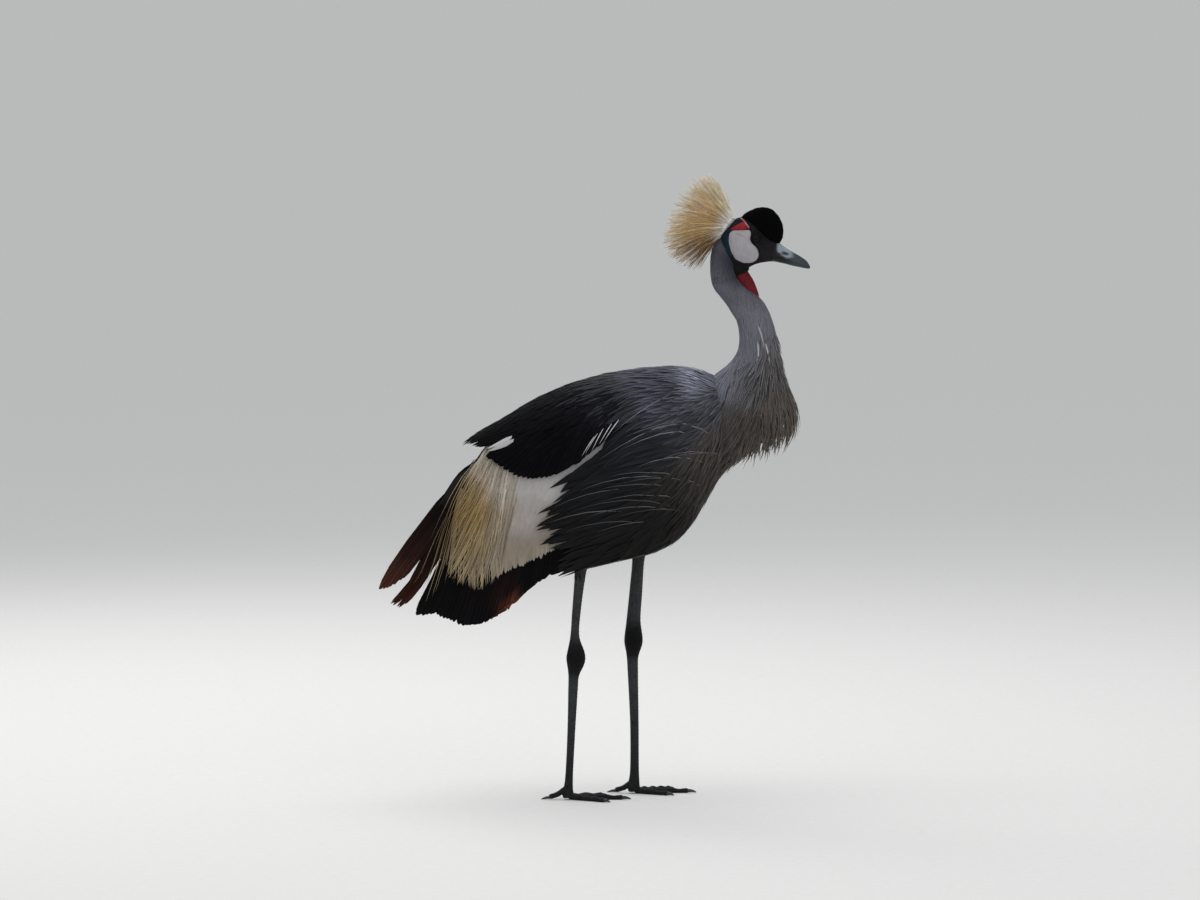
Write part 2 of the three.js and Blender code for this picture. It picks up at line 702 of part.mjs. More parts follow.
function hindToeRows(side, [x, y]) {
  const { heading, length, claw, height } = HIND_TOE;
  const turn = (heading * Math.PI) / 180;
  const along = (reach, z, r) => [x + Math.cos(turn) * reach, side * (y + Math.sin(turn) * reach), z, r, r];
  const pads = [[0, 1, 4.6], [0.3, 0.72, 4.4], [0.6, 0.42, 4.2], [1, 0.2, 4]].map(([t, h, r]) =>
    along(length * t, height * h, r),
  );
  const nail = [[-2, 4, 2.6], [claw * 0.45, 3.2, 2.1], [claw, 1.2, 0.7]].map(([t, z, r]) =>
    along(length + t, z, r),
  );
  return { pads, nail };
}

const crane = new THREE.Group();
function add(name, solid, look) {
  const { vertProperties, triVerts } = largest(solid).getMesh();
  const geometry = new THREE.BufferGeometry();
  geometry.setAttribute("position", new THREE.BufferAttribute(vertProperties, 3));
  geometry.setIndex(new THREE.BufferAttribute(triVerts, 1));
  const mesh = new THREE.Mesh(geometry, new THREE.MeshStandardMaterial({ ...look, metalness: 0 }));
  mesh.name = name;
  crane.add(mesh);
}

add("head", buildHead(), SLATE);
add("bill_upper", buildUpperBill(), HORN);
add("bill_lower", billHalf(false), HORN);
add("cap", cut(cap(), [headBlock]), VELVET);
add("crest", cut(buildCrest(), [headBlock, cap(GAP), neckBlock]), STRAW);
add("wattle", cut(tube(smoothRows(centred(WATTLE), 7), { sides: 9 }), [headBlock, neckBlock]), RED_SKIN);
add("neck_upper", cut(neck().intersect(slab(NECK_PARTING + GAP / 2, 1000)), [headBlock]), SLATE);
add("neck_lower", neck().intersect(slab(NECK_FOOT + GAP, NECK_PARTING - GAP / 2)), SLATE);
add("tail", cut(buildTail(), [trunkBlock]), DARK);

const wingBlocks = Object.values(SIDES).map((side) => wingReach(side, GAP));
const flankBlocks = Object.values(SIDES).map((side) => {
  return unite([flank(side, GAP), ...flankFans(FLANK_FANS, side, GAP)]);
});
const flanks = Object.keys(SIDES).map((name, i) =>
  cut(unite([flank(SIDES[name]), ...flankFans(FLANK_FANS, SIDES[name])]), [wingBlocks[i], leg(name, GAP)]),
);
const breast = unite([neck(), bib(), ...breastPlumes()]).intersect(slab(400, NECK_FOOT));
add("torso", unite([trunk(), ...flanks]), SLATE);
add("breast", cut(breast, [trunk(GAP), ...flankBlocks]), SLATE);

Object.entries(SIDES).forEach(([name, side], i) => {
  const [ankleX, ankleY] = LEGS[name].at(-1);
  const eyeRadii = Array(3).fill(EYE.radius);
  const lidClear = ellipsoid(mirrored(EYE.at, side), Array(3).fill(EYE.lid + 4), 12);
  const cheek = ellipsoid(mirrored(CHEEK.at, side), CHEEK.radii, 12);
  const trunkParts = [trunkBlock, neckBlock];
  add(`eye_${name}`, ellipsoid(mirrored(EYE.at, side), eyeRadii, 10), EYE_GLOSS);
  add(`cheek_${name}`, cut(cheek, [headBlock, neckBlock, lidClear, cap(GAP)]), WHITE);
  const feathers = flankFans(WING_FANS, side);
  const mantle = unite([scapulars(side), ...flankFans(SCAPULAR_FANS, side)]);
  const wing = unite([wingArm(side), ...feathers]).intersect(wingReach(side, 0));
  add(`wing_${name}`, cut(wing, trunkParts), DARK);
  add(`scapulars_${name}`, cut(mantle, [...trunkParts, wingBlocks[i], flankBlocks[i]]), DARK);

  const limb = leg(name);
  const sole = solidOf(new THREE.BoxGeometry(900, 900, 60).translate(0, 0, -30));
  const thigh = limb.intersect(slab(THIGH_PARTING[name] + GAP, 470));
  add(`thigh_${name}`, cut(thigh, [trunkBlock, wingBlocks[i]]), SLATE);
  add(`shank_${name}`, limb.intersect(slab(HOCK_PARTING[name] + GAP, THIGH_PARTING[name])), SCALE);
  add(`tarsus_${name}`, limb.intersect(slab(0, HOCK_PARTING[name])), SCALE);

  const placed = [leg(name, GAP).intersect(slab(-5, 60))];
  const ankle = [ankleX, ankleY];
  const toes = { middle: TOES.middle, inner: TOES.inner, outer: TOES.outer, hind: null };
  for (const [toe, size] of Object.entries(toes)) {
    const { pads, nail } = size ? toeRows(side, ankle, size) : hindToeRows(side, ankle);
    const body = tube(pads, { sides: 6 });
    const block = tube(pads, { sides: 6, grow: GAP });
    add(`toe_${toe}_${name}`, cut(body, [sole, ...placed]), SCALE);
    add(`claw_${toe}_${name}`, cut(tube(nail, { sides: 5 }), [block, sole]), HORN);
    placed.push(block);
  }
});

export default crane;
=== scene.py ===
"""Grey crowned crane (Balearica regulorum), standing, life size.

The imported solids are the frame. This script lays one skin under the bird's flesh, covers it with
feathers that follow the lie of the real coat, and models the crest, cap, face, eyes, bill, legs
and claws. Tables are in millimetres, in the frame's own axes: the bird faces +X, its left side is
+Y and the floor is at z = 0. Meshes are made in metres.
"""

from __future__ import annotations

import logging
import math
from dataclasses import dataclass, fields
from enum import Enum
from functools import cache
from typing import Callable, Protocol, Sequence

import bmesh
import bpy
import numpy as np
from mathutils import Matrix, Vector

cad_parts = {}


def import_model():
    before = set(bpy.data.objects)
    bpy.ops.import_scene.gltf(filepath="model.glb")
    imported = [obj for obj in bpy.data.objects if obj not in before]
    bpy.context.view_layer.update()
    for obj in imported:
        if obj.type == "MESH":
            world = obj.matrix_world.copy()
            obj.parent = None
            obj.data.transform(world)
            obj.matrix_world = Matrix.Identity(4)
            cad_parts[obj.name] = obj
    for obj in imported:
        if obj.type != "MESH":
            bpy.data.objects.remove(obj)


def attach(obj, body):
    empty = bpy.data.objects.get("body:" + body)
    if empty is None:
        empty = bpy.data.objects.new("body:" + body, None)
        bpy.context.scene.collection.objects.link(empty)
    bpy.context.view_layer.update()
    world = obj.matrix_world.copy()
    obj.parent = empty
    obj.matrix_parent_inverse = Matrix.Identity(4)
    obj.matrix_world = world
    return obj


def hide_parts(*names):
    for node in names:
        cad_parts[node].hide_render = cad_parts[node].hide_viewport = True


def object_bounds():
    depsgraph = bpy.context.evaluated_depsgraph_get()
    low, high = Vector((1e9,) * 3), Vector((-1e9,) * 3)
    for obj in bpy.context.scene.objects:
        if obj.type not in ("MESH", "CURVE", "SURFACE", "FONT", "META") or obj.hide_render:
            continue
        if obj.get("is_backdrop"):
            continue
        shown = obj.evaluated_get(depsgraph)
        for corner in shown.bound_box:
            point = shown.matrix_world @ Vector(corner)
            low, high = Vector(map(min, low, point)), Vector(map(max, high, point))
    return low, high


log = logging.getLogger("crane")

Array = np.ndarray
Rows = Sequence[Sequence[float]]
Pair = tuple[float, float]
Triple = tuple[float, float, float]
BMesh = bmesh.types.BMesh
Material = bpy.types.Material
Mesh = bpy.types.Mesh
Piece = bpy.types.Object
Tree = bpy.types.NodeTree

MM = 0.001  # metres in a millimetre
BODY = "root"
SIDES = {"right": -1, "left": 1}
SKIN_VOXEL = (2.6, 3.2)
LEG_VOXEL = (1.0, 1.6)
BAKE_PATCH = 0.003  # width of one feather's patch on the OFBake map
SURFACE_STEP = 1.5  # over which a surface's slopes are measured


# Numbers, colours and profiles


def linear(code: str) -> Array:
    """Turns an sRGB hex colour, such as "#8a8d95", into three values of linear light."""
    parts = np.array([int(code[i : i + 2], 16) / 255 for i in (1, 3, 5)])
    return np.where(parts <= 0.04045, parts / 12.92, ((parts + 0.055) / 1.055) ** 2.4)


def rgba(code: str) -> tuple[float, float, float, float]:
    """Gives an sRGB hex colour as a linear socket value."""
    return (*linear(code), 1.0)


def mix(a: Array, b: Array, share: Array | float) -> Array:
    """Blends a into b by a share from 0 to 1."""
    return a + (b - a) * share


def smooth_step(low: float, high: float, x: Array) -> Array:
    """Rises smoothly from 0 at low to 1 at high."""
    t = np.clip((x - low) / (high - low), 0, 1)
    return t * t * (3 - 2 * t)


def profile(rows: Rows, column: int = 1) -> Callable[[Array], Array]:
    """Makes a smooth function through a table's points, level past its ends.

    Args:
        rows: Table rows in rising order of their first number.
        column: Column that holds the value.

    Returns:
        A function of the first column's quantity.
    """
    xs = np.array([row[0] for row in rows], float)
    ys = np.array([row[column] for row in rows], float)
    ends = np.arange(len(xs))
    before, after = np.maximum(ends - 1, 0), np.minimum(ends + 1, len(xs) - 1)
    slopes = (ys[after] - ys[before]) / (xs[after] - xs[before])

    def value(x: Array) -> Array:
        """Reads the profile at x."""
        x = np.asarray(x, float)
        i = np.clip(np.searchsorted(xs, x, side="right") - 1, 0, len(xs) - 2)
        width = xs[i + 1] - xs[i]
        t = np.clip((x - xs[i]) / width, 0, 1)
        bend = slopes[i] * t * (1 - t) ** 2 - slopes[i + 1] * t * t * (1 - t)
        return ys[i] + (ys[i + 1] - ys[i]) * t * t * (3 - 2 * t) + bend * width

    return value


def smooth_rows(rows: Rows, steps: int) -> Array:
    """Puts smooth rows in between a table's rows.

    Args:
        rows: Table rows, all of one length.
        steps: Number of intervals in the result.

    Returns:
        steps + 1 rows that pass through the table's.
    """
    table = np.array(rows, float)
    last = len(table) - 1
    s = np.linspace(0, last, steps + 1)
    i = np.minimum(s.astype(int), last - 1)
    t = (s - i)[:, None]
    a, b = table[np.maximum(i - 1, 0)], table[i]
    d, e = table[i + 1], table[np.minimum(i + 2, last)]
    return b + 0.5 * t * (d - a + t * (2 * a - 5 * b + 4 * d - e + t * (3 * (b - d) + e - a)))


def inside(region: Rows, a: Array, b: Array) -> Array:
    """Tells which points lie inside a closed outline.

    Args:
        region: Corners of the outline.
        a: First coordinates of the points.
        b: Second coordinates of the points.

    Returns:
        True for each point inside.
    """
    found = np.zeros(np.shape(a), bool)
    for (a0, b0), (a1, b1) in zip(region, [*region[1:], region[0]]):
        if b0 != b1:
            found ^= ((b0 > b) != (b1 > b)) & (a < (a1 - a0) * (b - b0) / (b1 - b0) + a0)
    return found


def polar_edge(outline: Rows, middle: Pair, way: Array, soft: int = 8) -> Array:
    """Measures a closed outline from a point inside it.

    Args:
        outline: Its corners.
        middle: Point that sees all of it.
        way: Angles.
        soft: Reach of the rounding of its corners, in fortieths of a side.

    Returns:
        The distance to the outline at each angle.
    """
    corners = np.array([*outline, outline[0]], float) - middle
    share = np.linspace(0, len(outline), 40 * len(outline), endpoint=False)
    x, z = (np.interp(share, np.arange(len(corners)), corners[:, i]) for i in (0, 1))
    angle = np.arctan2(z, x)
    order = np.argsort(angle)
    radius = np.hypot(x, z)[order]
    rounded = sum(np.roll(radius, k) for k in range(-soft, soft + 1)) / (2 * soft + 1)
    return np.interp(way, angle[order], rounded, period=2 * math.pi)


@dataclass(frozen=True)
class Field:
    """Values known at a few places on the bird's side, blended in between.

    Attributes:
        table: Rows of x, z and then the values.
        reach: Distance over which neighbours blend.
    """

    table: tuple[tuple[float, ...], ...]
    reach: float = 22.0

    def at(self, x: Array, z: Array) -> Array:
        """Blends the values at some places.

        Args:
            x: Places forward.
            z: Heights.

        Returns:
            The values, with one more axis than x.
        """
        rows = np.array(self.table, float)
        gaps = (np.asarray(x)[..., None] - rows[:, 0]) ** 2 + (np.asarray(z)[..., None] - rows[:, 1]) ** 2
        weight = (gaps + self.reach**2) ** -2.5
        weight /= weight.sum(axis=-1, keepdims=True)
        return weight @ rows[:, 2:]


def colour_field(rows: Sequence[tuple[float, float, str]], reach: float = 22.0) -> Field:
    """Makes a colour field from rows of x, z and an sRGB hex colour."""
    return Field(tuple((x, z, *linear(code)) for x, z, code in rows), reach)


# Surfaces that feathers lie on


class Surface(Protocol):
    """A surface with coordinates a and b in millimetres."""

    def point(self, a: Array, b: Array) -> Array:
        """Gives the place of each (a, b)."""


def lifted(surface: Surface, a: Array, b: Array, lift: Array) -> Array:
    """Finds points over a surface.

    Args:
        surface: The surface. One with a rear moves its layers apart sideways there.
        a: First coordinates.
        b: Second coordinates.
        lift: Heights over the surface, negative under it.

    Returns:
        Places in mm, one more axis than a.
    """
    step = SURFACE_STEP
    along = surface.point(a + step, b) - surface.point(a - step, b)
    across = surface.point(a, b + step) - surface.point(a, b - step)
    normal = np.cross(along, across)
    normal /= np.linalg.norm(normal, axis=-1, keepdims=True) + 1e-12
    rear = getattr(surface, "rear", None)
    if rear is not None:
        share = np.clip((rear[0] - a) / rear[1], 0, 1)[..., None]
        sideways = np.zeros_like(normal)
        sideways[..., 1] = np.where(b < 0, -1, 1)
        normal = mix(normal, sideways, share)
        normal /= np.linalg.norm(normal, axis=-1, keepdims=True)
    return surface.point(a, b) + normal * np.asarray(lift)[..., None]


def tangent_steps(surface: Surface, a: Array, b: Array, heading: Array) -> tuple[Array, Array]:
    """Turns headings in space into steps on a surface.

    Args:
        surface: The surface.
        a: First coordinates.
        b: Second coordinates.
        heading: Rows of x, y, z.

    Returns:
        Steps in (a, b) for one millimetre along the heading, and for one across it to its left.
    """
    step = SURFACE_STEP
    pa = (surface.point(a + step, b) - surface.point(a - step, b)) / (2 * step)
    pb = (surface.point(a, b + step) - surface.point(a, b - step)) / (2 * step)
    aa, bb, ab = (pa * pa).sum(-1), (pb * pb).sum(-1), (pa * pb).sum(-1)

    def solve(way: Array) -> Array:
        """Finds the step of one millimetre that goes the given way."""
        wa, wb = (pa * way).sum(-1), (pb * way).sum(-1)
        det = aa * bb - ab**2 + 1e-9
        da, db = (bb * wa - ab * wb) / det, (aa * wb - ab * wa) / det
        size = np.linalg.norm(pa * da[..., None] + pb * db[..., None], axis=-1) + 1e-9
        return np.stack([da / size, db / size], axis=-1)

    along = solve(heading)
    return along, solve(np.cross(np.cross(pa, pb), pa * along[..., :1] + pb * along[..., 1:]))


@dataclass(frozen=True)
class Envelope:
    """Outer surface of back, folded wings, flanks and belly.

    a runs forward as x does. b runs from the ridge of the back down each side, positive on the
    bird's left. The tables are rows of x and a height or a half width.

    Attributes:
        back: Ridge of the back.
        widest: Height of the widest place.
        lower: Lower edge of flank and wing.
        width: Half width.
        power: Squareness of the upper half, 2 being an ellipse.
        tuck: How far round the lower half goes, 1 being the lower edge of the flank.
        rear: Place from which layers shift sideways only, and the length of the change.
    """

    back: Rows = (
        (-345, 430), (-300, 476), (-250, 532), (-204, 574), (-151, 606), (-87, 643),
        (-23, 669), (41, 684), (105, 691), (150, 690), (200, 670), (240, 630),
    )
    widest: Rows = (
        (-345, 335), (-300, 350), (-250, 388), (-204, 420), (-151, 460), (-87, 500),
        (-23, 525), (41, 540), (105, 552), (150, 566), (200, 585), (240, 595),
    )
    lower: Rows = (
        (-345, 300), (-300, 285), (-204, 278), (-151, 290), (-87, 345), (-23, 372),
        (41, 388), (105, 405), (150, 440), (200, 520), (240, 560),
    )
    width: Rows = (
        (-345, 40), (-300, 54), (-250, 66), (-204, 79), (-151, 92), (-87, 107),
        (-23, 117), (41, 120), (105, 112), (150, 92), (185, 67), (215, 44), (240, 28),
    )
    power: float = 2.2
    tuck: float = 1.45
    rear: Pair = (-150, 70)

    def spread(self, x: Array) -> Array:
        """Gives the millimetres of b for each radian round the body."""
        return 0.5 * (profile(self.width)(x) + profile(self.back)(x) - profile(self.widest)(x))

    def point(self, a: Array, b: Array) -> Array:
        """Gives the place of each (a, b)."""
        back, widest = profile(self.back)(a), profile(self.widest)(a)
        lower, width = profile(self.lower)(a), profile(self.width)(a)
        angle = np.abs(b) / self.spread(a)
        top = np.minimum(angle, math.pi / 2)
        y_top = width * np.sin(top) ** (2 / self.power)
        z_top = widest + (back - widest) * np.clip(np.cos(top), 0, 1) ** (2 / self.power)
        k = np.clip(angle / (math.pi / 2) - 1, 0, 1) * self.tuck
        side = np.minimum(k, 1)
        turn = np.clip((k - 1) / (self.tuck - 1), 0, 1) * math.pi / 2
        y_low = np.where(k > 1, 0.7 * width * np.cos(turn), width * (1 - 0.3 * side**2))
        z_low = widest - (widest - lower) * side - 7 * np.sin(turn)
        upper = angle <= math.pi / 2
        y = np.where(upper, y_top, y_low) * np.where(b < 0, -1, 1)
        return np.stack([a + 0 * b, y, np.where(upper, z_top, z_low)], axis=-1)

    def locate(self, x: Array, z: Array) -> Array:
        """Finds how far down the side a height lies.

        Args:
            x: Places forward.
            z: Heights.

        Returns:
            The coordinate b, always positive.
        """
        back, widest, lower = profile(self.back)(x), profile(self.widest)(x), profile(self.lower)(x)
        rise = np.clip((z - widest) / (back - widest), 0, 1)
        upper = np.arccos(rise ** (self.power / 2))
        k = np.clip((widest - z) / (widest - lower), 0, 1.3)
        return np.where(z >= widest, upper, (1 + k / self.tuck) * math.pi / 2) * self.spread(x)


@dataclass(frozen=True)
class Tube:
    """A round surface along a line, such as the neck or a leg.

    a runs round it from the front, b along the line. The width lies along Y.

    Attributes:
        rows: Rows of x, y, z, half depth and half width.
        radius: Millimetres of a for each radian.
        grow: Height of the surface over the rows.
        upright: Whether sections stand across X rather than across the line.
        span: Half the length over which the line's direction is measured.
    """

    rows: Rows
    radius: float = 25.0
    grow: float = 0.0
    upright: bool = False
    span: float = 4.0

    def line(self) -> Array:
        """Gives rows of distance, x, y, z, half depth and half width along the line."""
        fine = smooth_rows(self.rows, 12 * (len(self.rows) - 1))
        steps = np.linalg.norm(np.diff(fine[:, :3], axis=0), axis=1)
        return np.column_stack([np.concatenate([[0], np.cumsum(steps)]), fine])

    def end(self) -> float:
        """Gives the length of the line."""
        return float(self.line()[-1, 0])

    def down_to(self, z: Array | float) -> Array:
        """Gives how far along a falling line each height is."""
        line = self.line()
        return np.interp(-np.asarray(z), -line[:, 3], line[:, 0])

    def read(self, b: Array, *columns: int) -> Array:
        """Reads columns of the line at distances b, with one more axis than b."""
        line = self.line()
        return np.stack([np.interp(b, line[:, 0], line[:, i]) for i in columns], axis=-1)

    def rings(self, steps: int, sides: int) -> list[Array]:
        """Gives steps + 1 rings of places round the line, with a number of points each."""
        a = np.arange(sides) * 2 * math.pi / sides * self.radius
        return [self.point(a, np.full(sides, b)) for b in np.linspace(0, self.end(), steps + 1)]

    def point(self, a: Array, b: Array) -> Array:
        """Gives the place of each (a, b)."""
        near, middle, far = (self.read(b + shift, 1, 2, 3) for shift in (-self.span, 0, self.span))
        depth, width = np.moveaxis(self.read(b, 4, 5), -1, 0) + self.grow
        down = far - near
        if self.upright:
            down[..., 1:] = 0
        down /= np.linalg.norm(down, axis=-1, keepdims=True) + 1e-9
        side = np.array([0.0, 1.0, 0.0]) - down * down[..., 1:2]
        side /= np.linalg.norm(side, axis=-1, keepdims=True)
        front = np.cross(side, -down)
        angle = a / self.radius
        across = (width * np.sin(angle))[..., None] * side
        return middle + front * (depth * np.cos(angle))[..., None] - across


@dataclass(frozen=True)
class Skirt:
    """Surface of the breast plumes: a runs round from the front, b is minus the height.

    Attributes:
        rows: Rows of height, front, middle and half width.
        radius: Millimetres of a for each radian.
    """

    rows: Rows = (
        (530, 268, 205, 34), (560, 303, 222, 46), (590, 319, 238, 55), (620, 321, 248, 56),
        (650, 312.5, 252, 51), (680, 303, 256, 42), (705, 297.5, 259, 33), (735, 293, 261, 27),
        (770, 283.5, 255, 24),
    )
    radius: float = 45.0

    def point(self, a: Array, b: Array) -> Array:
        """Gives the place of each (a, b)."""
        z = -np.asarray(b)
        front, middle, width = (profile(self.rows, i)(z) for i in (1, 2, 3))
        angle = a / self.radius
        return np.stack([middle + (front - middle) * np.cos(angle), -width * np.sin(angle), z], axis=-1)


@dataclass(frozen=True)
class Skull:
    """Surface of the head: a runs forward as x does, b round from the crown.

    Attributes:
        rows: Rows of x, crown, throat and half width.
        radius: Millimetres of b for each radian.
        power: Squareness of its sections, 2 being an ellipse.
    """

    rows: Rows = (
        (200, 892, 872, 7), (206, 908, 860, 14), (216, 919, 855, 20), (228, 928, 848, 24),
        (242, 930, 848, 26), (258, 925, 855, 25), (272, 912, 858, 20.5), (284, 899, 859, 15.5),
        (298, 887, 857, 11.8), (308, 879.5, 855, 9.2),
    )
    radius: float = 24.0
    power: float = 2.1

    def point(self, a: Array, b: Array) -> Array:
        """Gives the place of each (a, b)."""
        crown, throat, width = (profile(self.rows, i)(a) for i in (1, 2, 3))
        across, up = np.sin(b / self.radius), np.cos(b / self.radius)
        y, high = (np.sign(part) * np.abs(part) ** (2 / self.power) for part in (across, up))
        z = (crown + throat) / 2 + (crown - throat) / 2 * high
        return np.stack([a + 0 * b, width * y, z], axis=-1)

    def side(self, x: Array, z: Array) -> Array:
        """Gives how far the head's side stands from the middle plane at (x, z)."""
        crown, throat, width = (profile(self.rows, i)(x) for i in (1, 2, 3))
        rise = np.clip(np.abs(z - (crown + throat) / 2) / ((crown - throat) / 2), 0, 0.999)
        return width * (1 - rise**self.power) ** (1 / self.power)


@dataclass(frozen=True)
class Ball:
    """Surface of an ellipsoid: a runs round it, b up from its waist.

    Attributes:
        at: Its middle.
        radii: Half its size along x, y and z.
        radius: Millimetres of a and b for each radian.
    """

    at: Triple
    radii: Triple
    radius: float

    def point(self, a: Array, b: Array) -> Array:
        """Gives the place of each (a, b)."""
        return np.array(self.at) + unit_ball(a / self.radius, b / self.radius) * np.array(self.radii)


def unit_ball(turn: Array, rise: Array) -> Array:
    """Gives the place on a sphere of radius 1 at angles round it and up from its waist."""
    return np.stack([np.cos(turn) * np.cos(rise), np.sin(turn) * np.cos(rise), np.sin(rise)], axis=-1)


@dataclass(frozen=True)
class Dome:
    """Surface of the velvet cap: a and b as on a Ball.

    Attributes:
        middle: Point x, z inside it.
        half_width: Half its width.
        outline: Corners x, z of its outline in the side view.
        radius: Millimetres of a and b for each radian.
    """

    middle: Pair = (270, 915)
    half_width: float = 21.0
    outline: Rows = (
        (235, 930), (240.5, 935.5), (248.4, 940), (258, 944), (268.3, 945.5), (277, 944.5), (285, 941),
        (294, 931), (300, 919), (301.5, 908), (300.8, 897), (295, 887), (284, 886), (272, 889),
        (258, 895), (248, 904), (241, 916),
    )
    radius: float = 26.0

    def point(self, a: Array, b: Array) -> Array:
        """Gives the place of each (a, b)."""
        x, y, z = np.moveaxis(unit_ball(a / self.radius, b / self.radius), -1, 0)
        rim = polar_edge(self.outline, self.middle, np.arctan2(z, x))
        return np.stack([self.middle[0] + rim * x, self.half_width * y, self.middle[1] + rim * z], axis=-1)


# Lines of neck, trunk and legs


def centred(*rows: Sequence[float]) -> Rows:
    """Puts rows of x, z, half depth and half width in the bird's middle plane."""
    return tuple((x, 0, z, depth, width) for x, z, depth, width in rows)


NECK_ROWS = centred(
    (219, 901, 8, 8), (214, 892, 15, 12), (210, 880, 20, 15), (206, 861, 21, 17), (207, 830, 20.4, 18),
    (216, 816, 20, 18), (227, 804, 21.5, 19), (238, 792, 24.5, 21), (250, 777, 26.5, 23), (258, 755, 28, 24),
    (262, 730, 31, 26), (262, 704, 37, 31), (254, 672, 49, 40), (236, 637, 62, 52),
    (214, 606, 58, 52), (190, 584, 46, 44),
)
BIB_ROWS = centred(
    (259, 705, 36, 31), (263, 670, 43, 41), (267, 638, 45, 48), (264, 610, 43, 49),
    (247, 591, 31, 38), (231, 580, 18, 24),
)
KEEL_ROWS = centred(
    (236, 622, 28, 34), (216, 572, 30, 36), (177, 529, 30, 44), (127, 449, 30, 56), (88, 422, 30, 60),
    (60, 416, 30, 60),
)
WATTLE_ROWS = centred(
    (232, 850, 7, 5), (236, 838, 10.5, 7.5), (242.5, 825, 11.8, 9.5), (249, 813.5, 10.8, 8.5),
    (255, 805.5, 8.2, 6), (259.4, 801.6, 5, 4), (261.2, 800, 1.5, 1.5),
)
# Trunk, as rows of x, back, belly and half width before they are centred.
TRUNK_ROWS = centred(*((x, (top + low) / 2, (top - low) / 2, width) for x, top, low, width in (
    (216, 664, 540, 40), (190, 682, 510, 60), (162, 689, 462, 75), (130, 690, 414, 85),
    (85, 688, 400, 94), (25, 681, 387, 99), (-35, 663, 381, 97), (-90, 640, 382, 87),
    (-140, 605, 390, 70), (-180, 560, 404, 48), (-206, 500, 430, 22),
)))


@dataclass(frozen=True)
class LegLine:
    """Line of one leg, from inside the thigh to the sole.

    Attributes:
        rows: Rows of x, y, z, half depth and half width.
        hock: Height of the ankle joint's middle.
        parting: Height at which the thigh's feathers end.
    """

    rows: Rows
    hock: float
    parting: float


LEGS = {
    "right": LegLine((
        (2, -52, 450, 40, 34), (-10, -52, 415, 25, 24), (-18, -51, 390, 12.5, 12.5),
        (-22.5, -50, 364, 8.8, 8.6), (-29, -49, 302, 6.8, 6.6), (-31.5, -48, 262, 7.2, 6.6),
        (-29.8, -47, 228, 15.2, 10.8), (-33.3, -46.5, 200, 8.6, 7.2), (-34.5, -46, 176, 7.6, 6.2),
        (-37.4, -45, 105, 6.1, 5.4), (-40.8, -44, 36, 6.1, 5.6), (-42.2, -44, 14, 8.2, 7.8),
        (-41.5, -44, 3, 9.2, 8.8),
    ), hock=226, parting=348),
    "left": LegLine((
        (66, 50, 440, 44, 34), (70, 50, 418, 32, 27), (71.5, 49, 398, 17, 15),
        (70.3, 48, 378, 9.9, 9.6), (66, 47, 322, 10.3, 8.4), (62.6, 46, 280, 11.2, 8.6),
        (62.5, 45, 246, 14.8, 10.7), (61, 44.5, 222, 9.5, 7.8), (61.5, 44, 196, 8.3, 6.6),
        (64, 43, 112, 6.8, 5.6), (64.2, 42, 40, 7, 6), (63.4, 42, 16, 9.2, 8.4),
        (64, 42, 3, 9.6, 9.2),
    ), hock=246, parting=376),
}
ENVELOPE = Envelope()
NECK = Tube(NECK_ROWS)
KEEL = Tube(KEEL_ROWS)
TRUNK = Tube(TRUNK_ROWS, upright=True)
SKIRT = Skirt()
SKULL = Skull()
THROAT = Ball((231, 0, 851), (16, 13, 15), 15.0)
CAP = Dome()


# Materials


def add_node(tree: Tree, kind: str, inputs: dict | None = None, **settings: str) -> bpy.types.Node:
    """Adds one node with its settings, values and links.

    Args:
        tree: Node tree of the material.
        kind: Blender's name of the node type, after "ShaderNode".
        inputs: For each socket's name or number its value, an output, or a node for its first output.
        settings: Properties of the node itself.

    Returns:
        The new node.
    """
    made = tree.nodes.new(f"ShaderNode{kind}")
    for name, value in settings.items():
        setattr(made, name, value)
    for key, value in (inputs or {}).items():
        if isinstance(value, bpy.types.Node):
            value = value.outputs[0]
        if isinstance(value, bpy.types.NodeSocket):
            tree.links.new(value, made.inputs[key])
        else:
            made.inputs[key].default_value = value
    return made


def blank_material(name: str) -> tuple[Material, Tree]:
    """Makes a material with an empty node tree, and gives both."""
    material = bpy.data.materials.new(name)
    material.use_nodes = True
    material.node_tree.nodes.clear()
    return material, material.node_tree


def add_surface(tree: Tree, sockets: dict) -> None:
    """Ends a tree with a Principled shader that has the given values and links."""
    shader = add_node(tree, "BsdfPrincipled", sockets)
    add_node(tree, "OutputMaterial", {"Surface": shader})


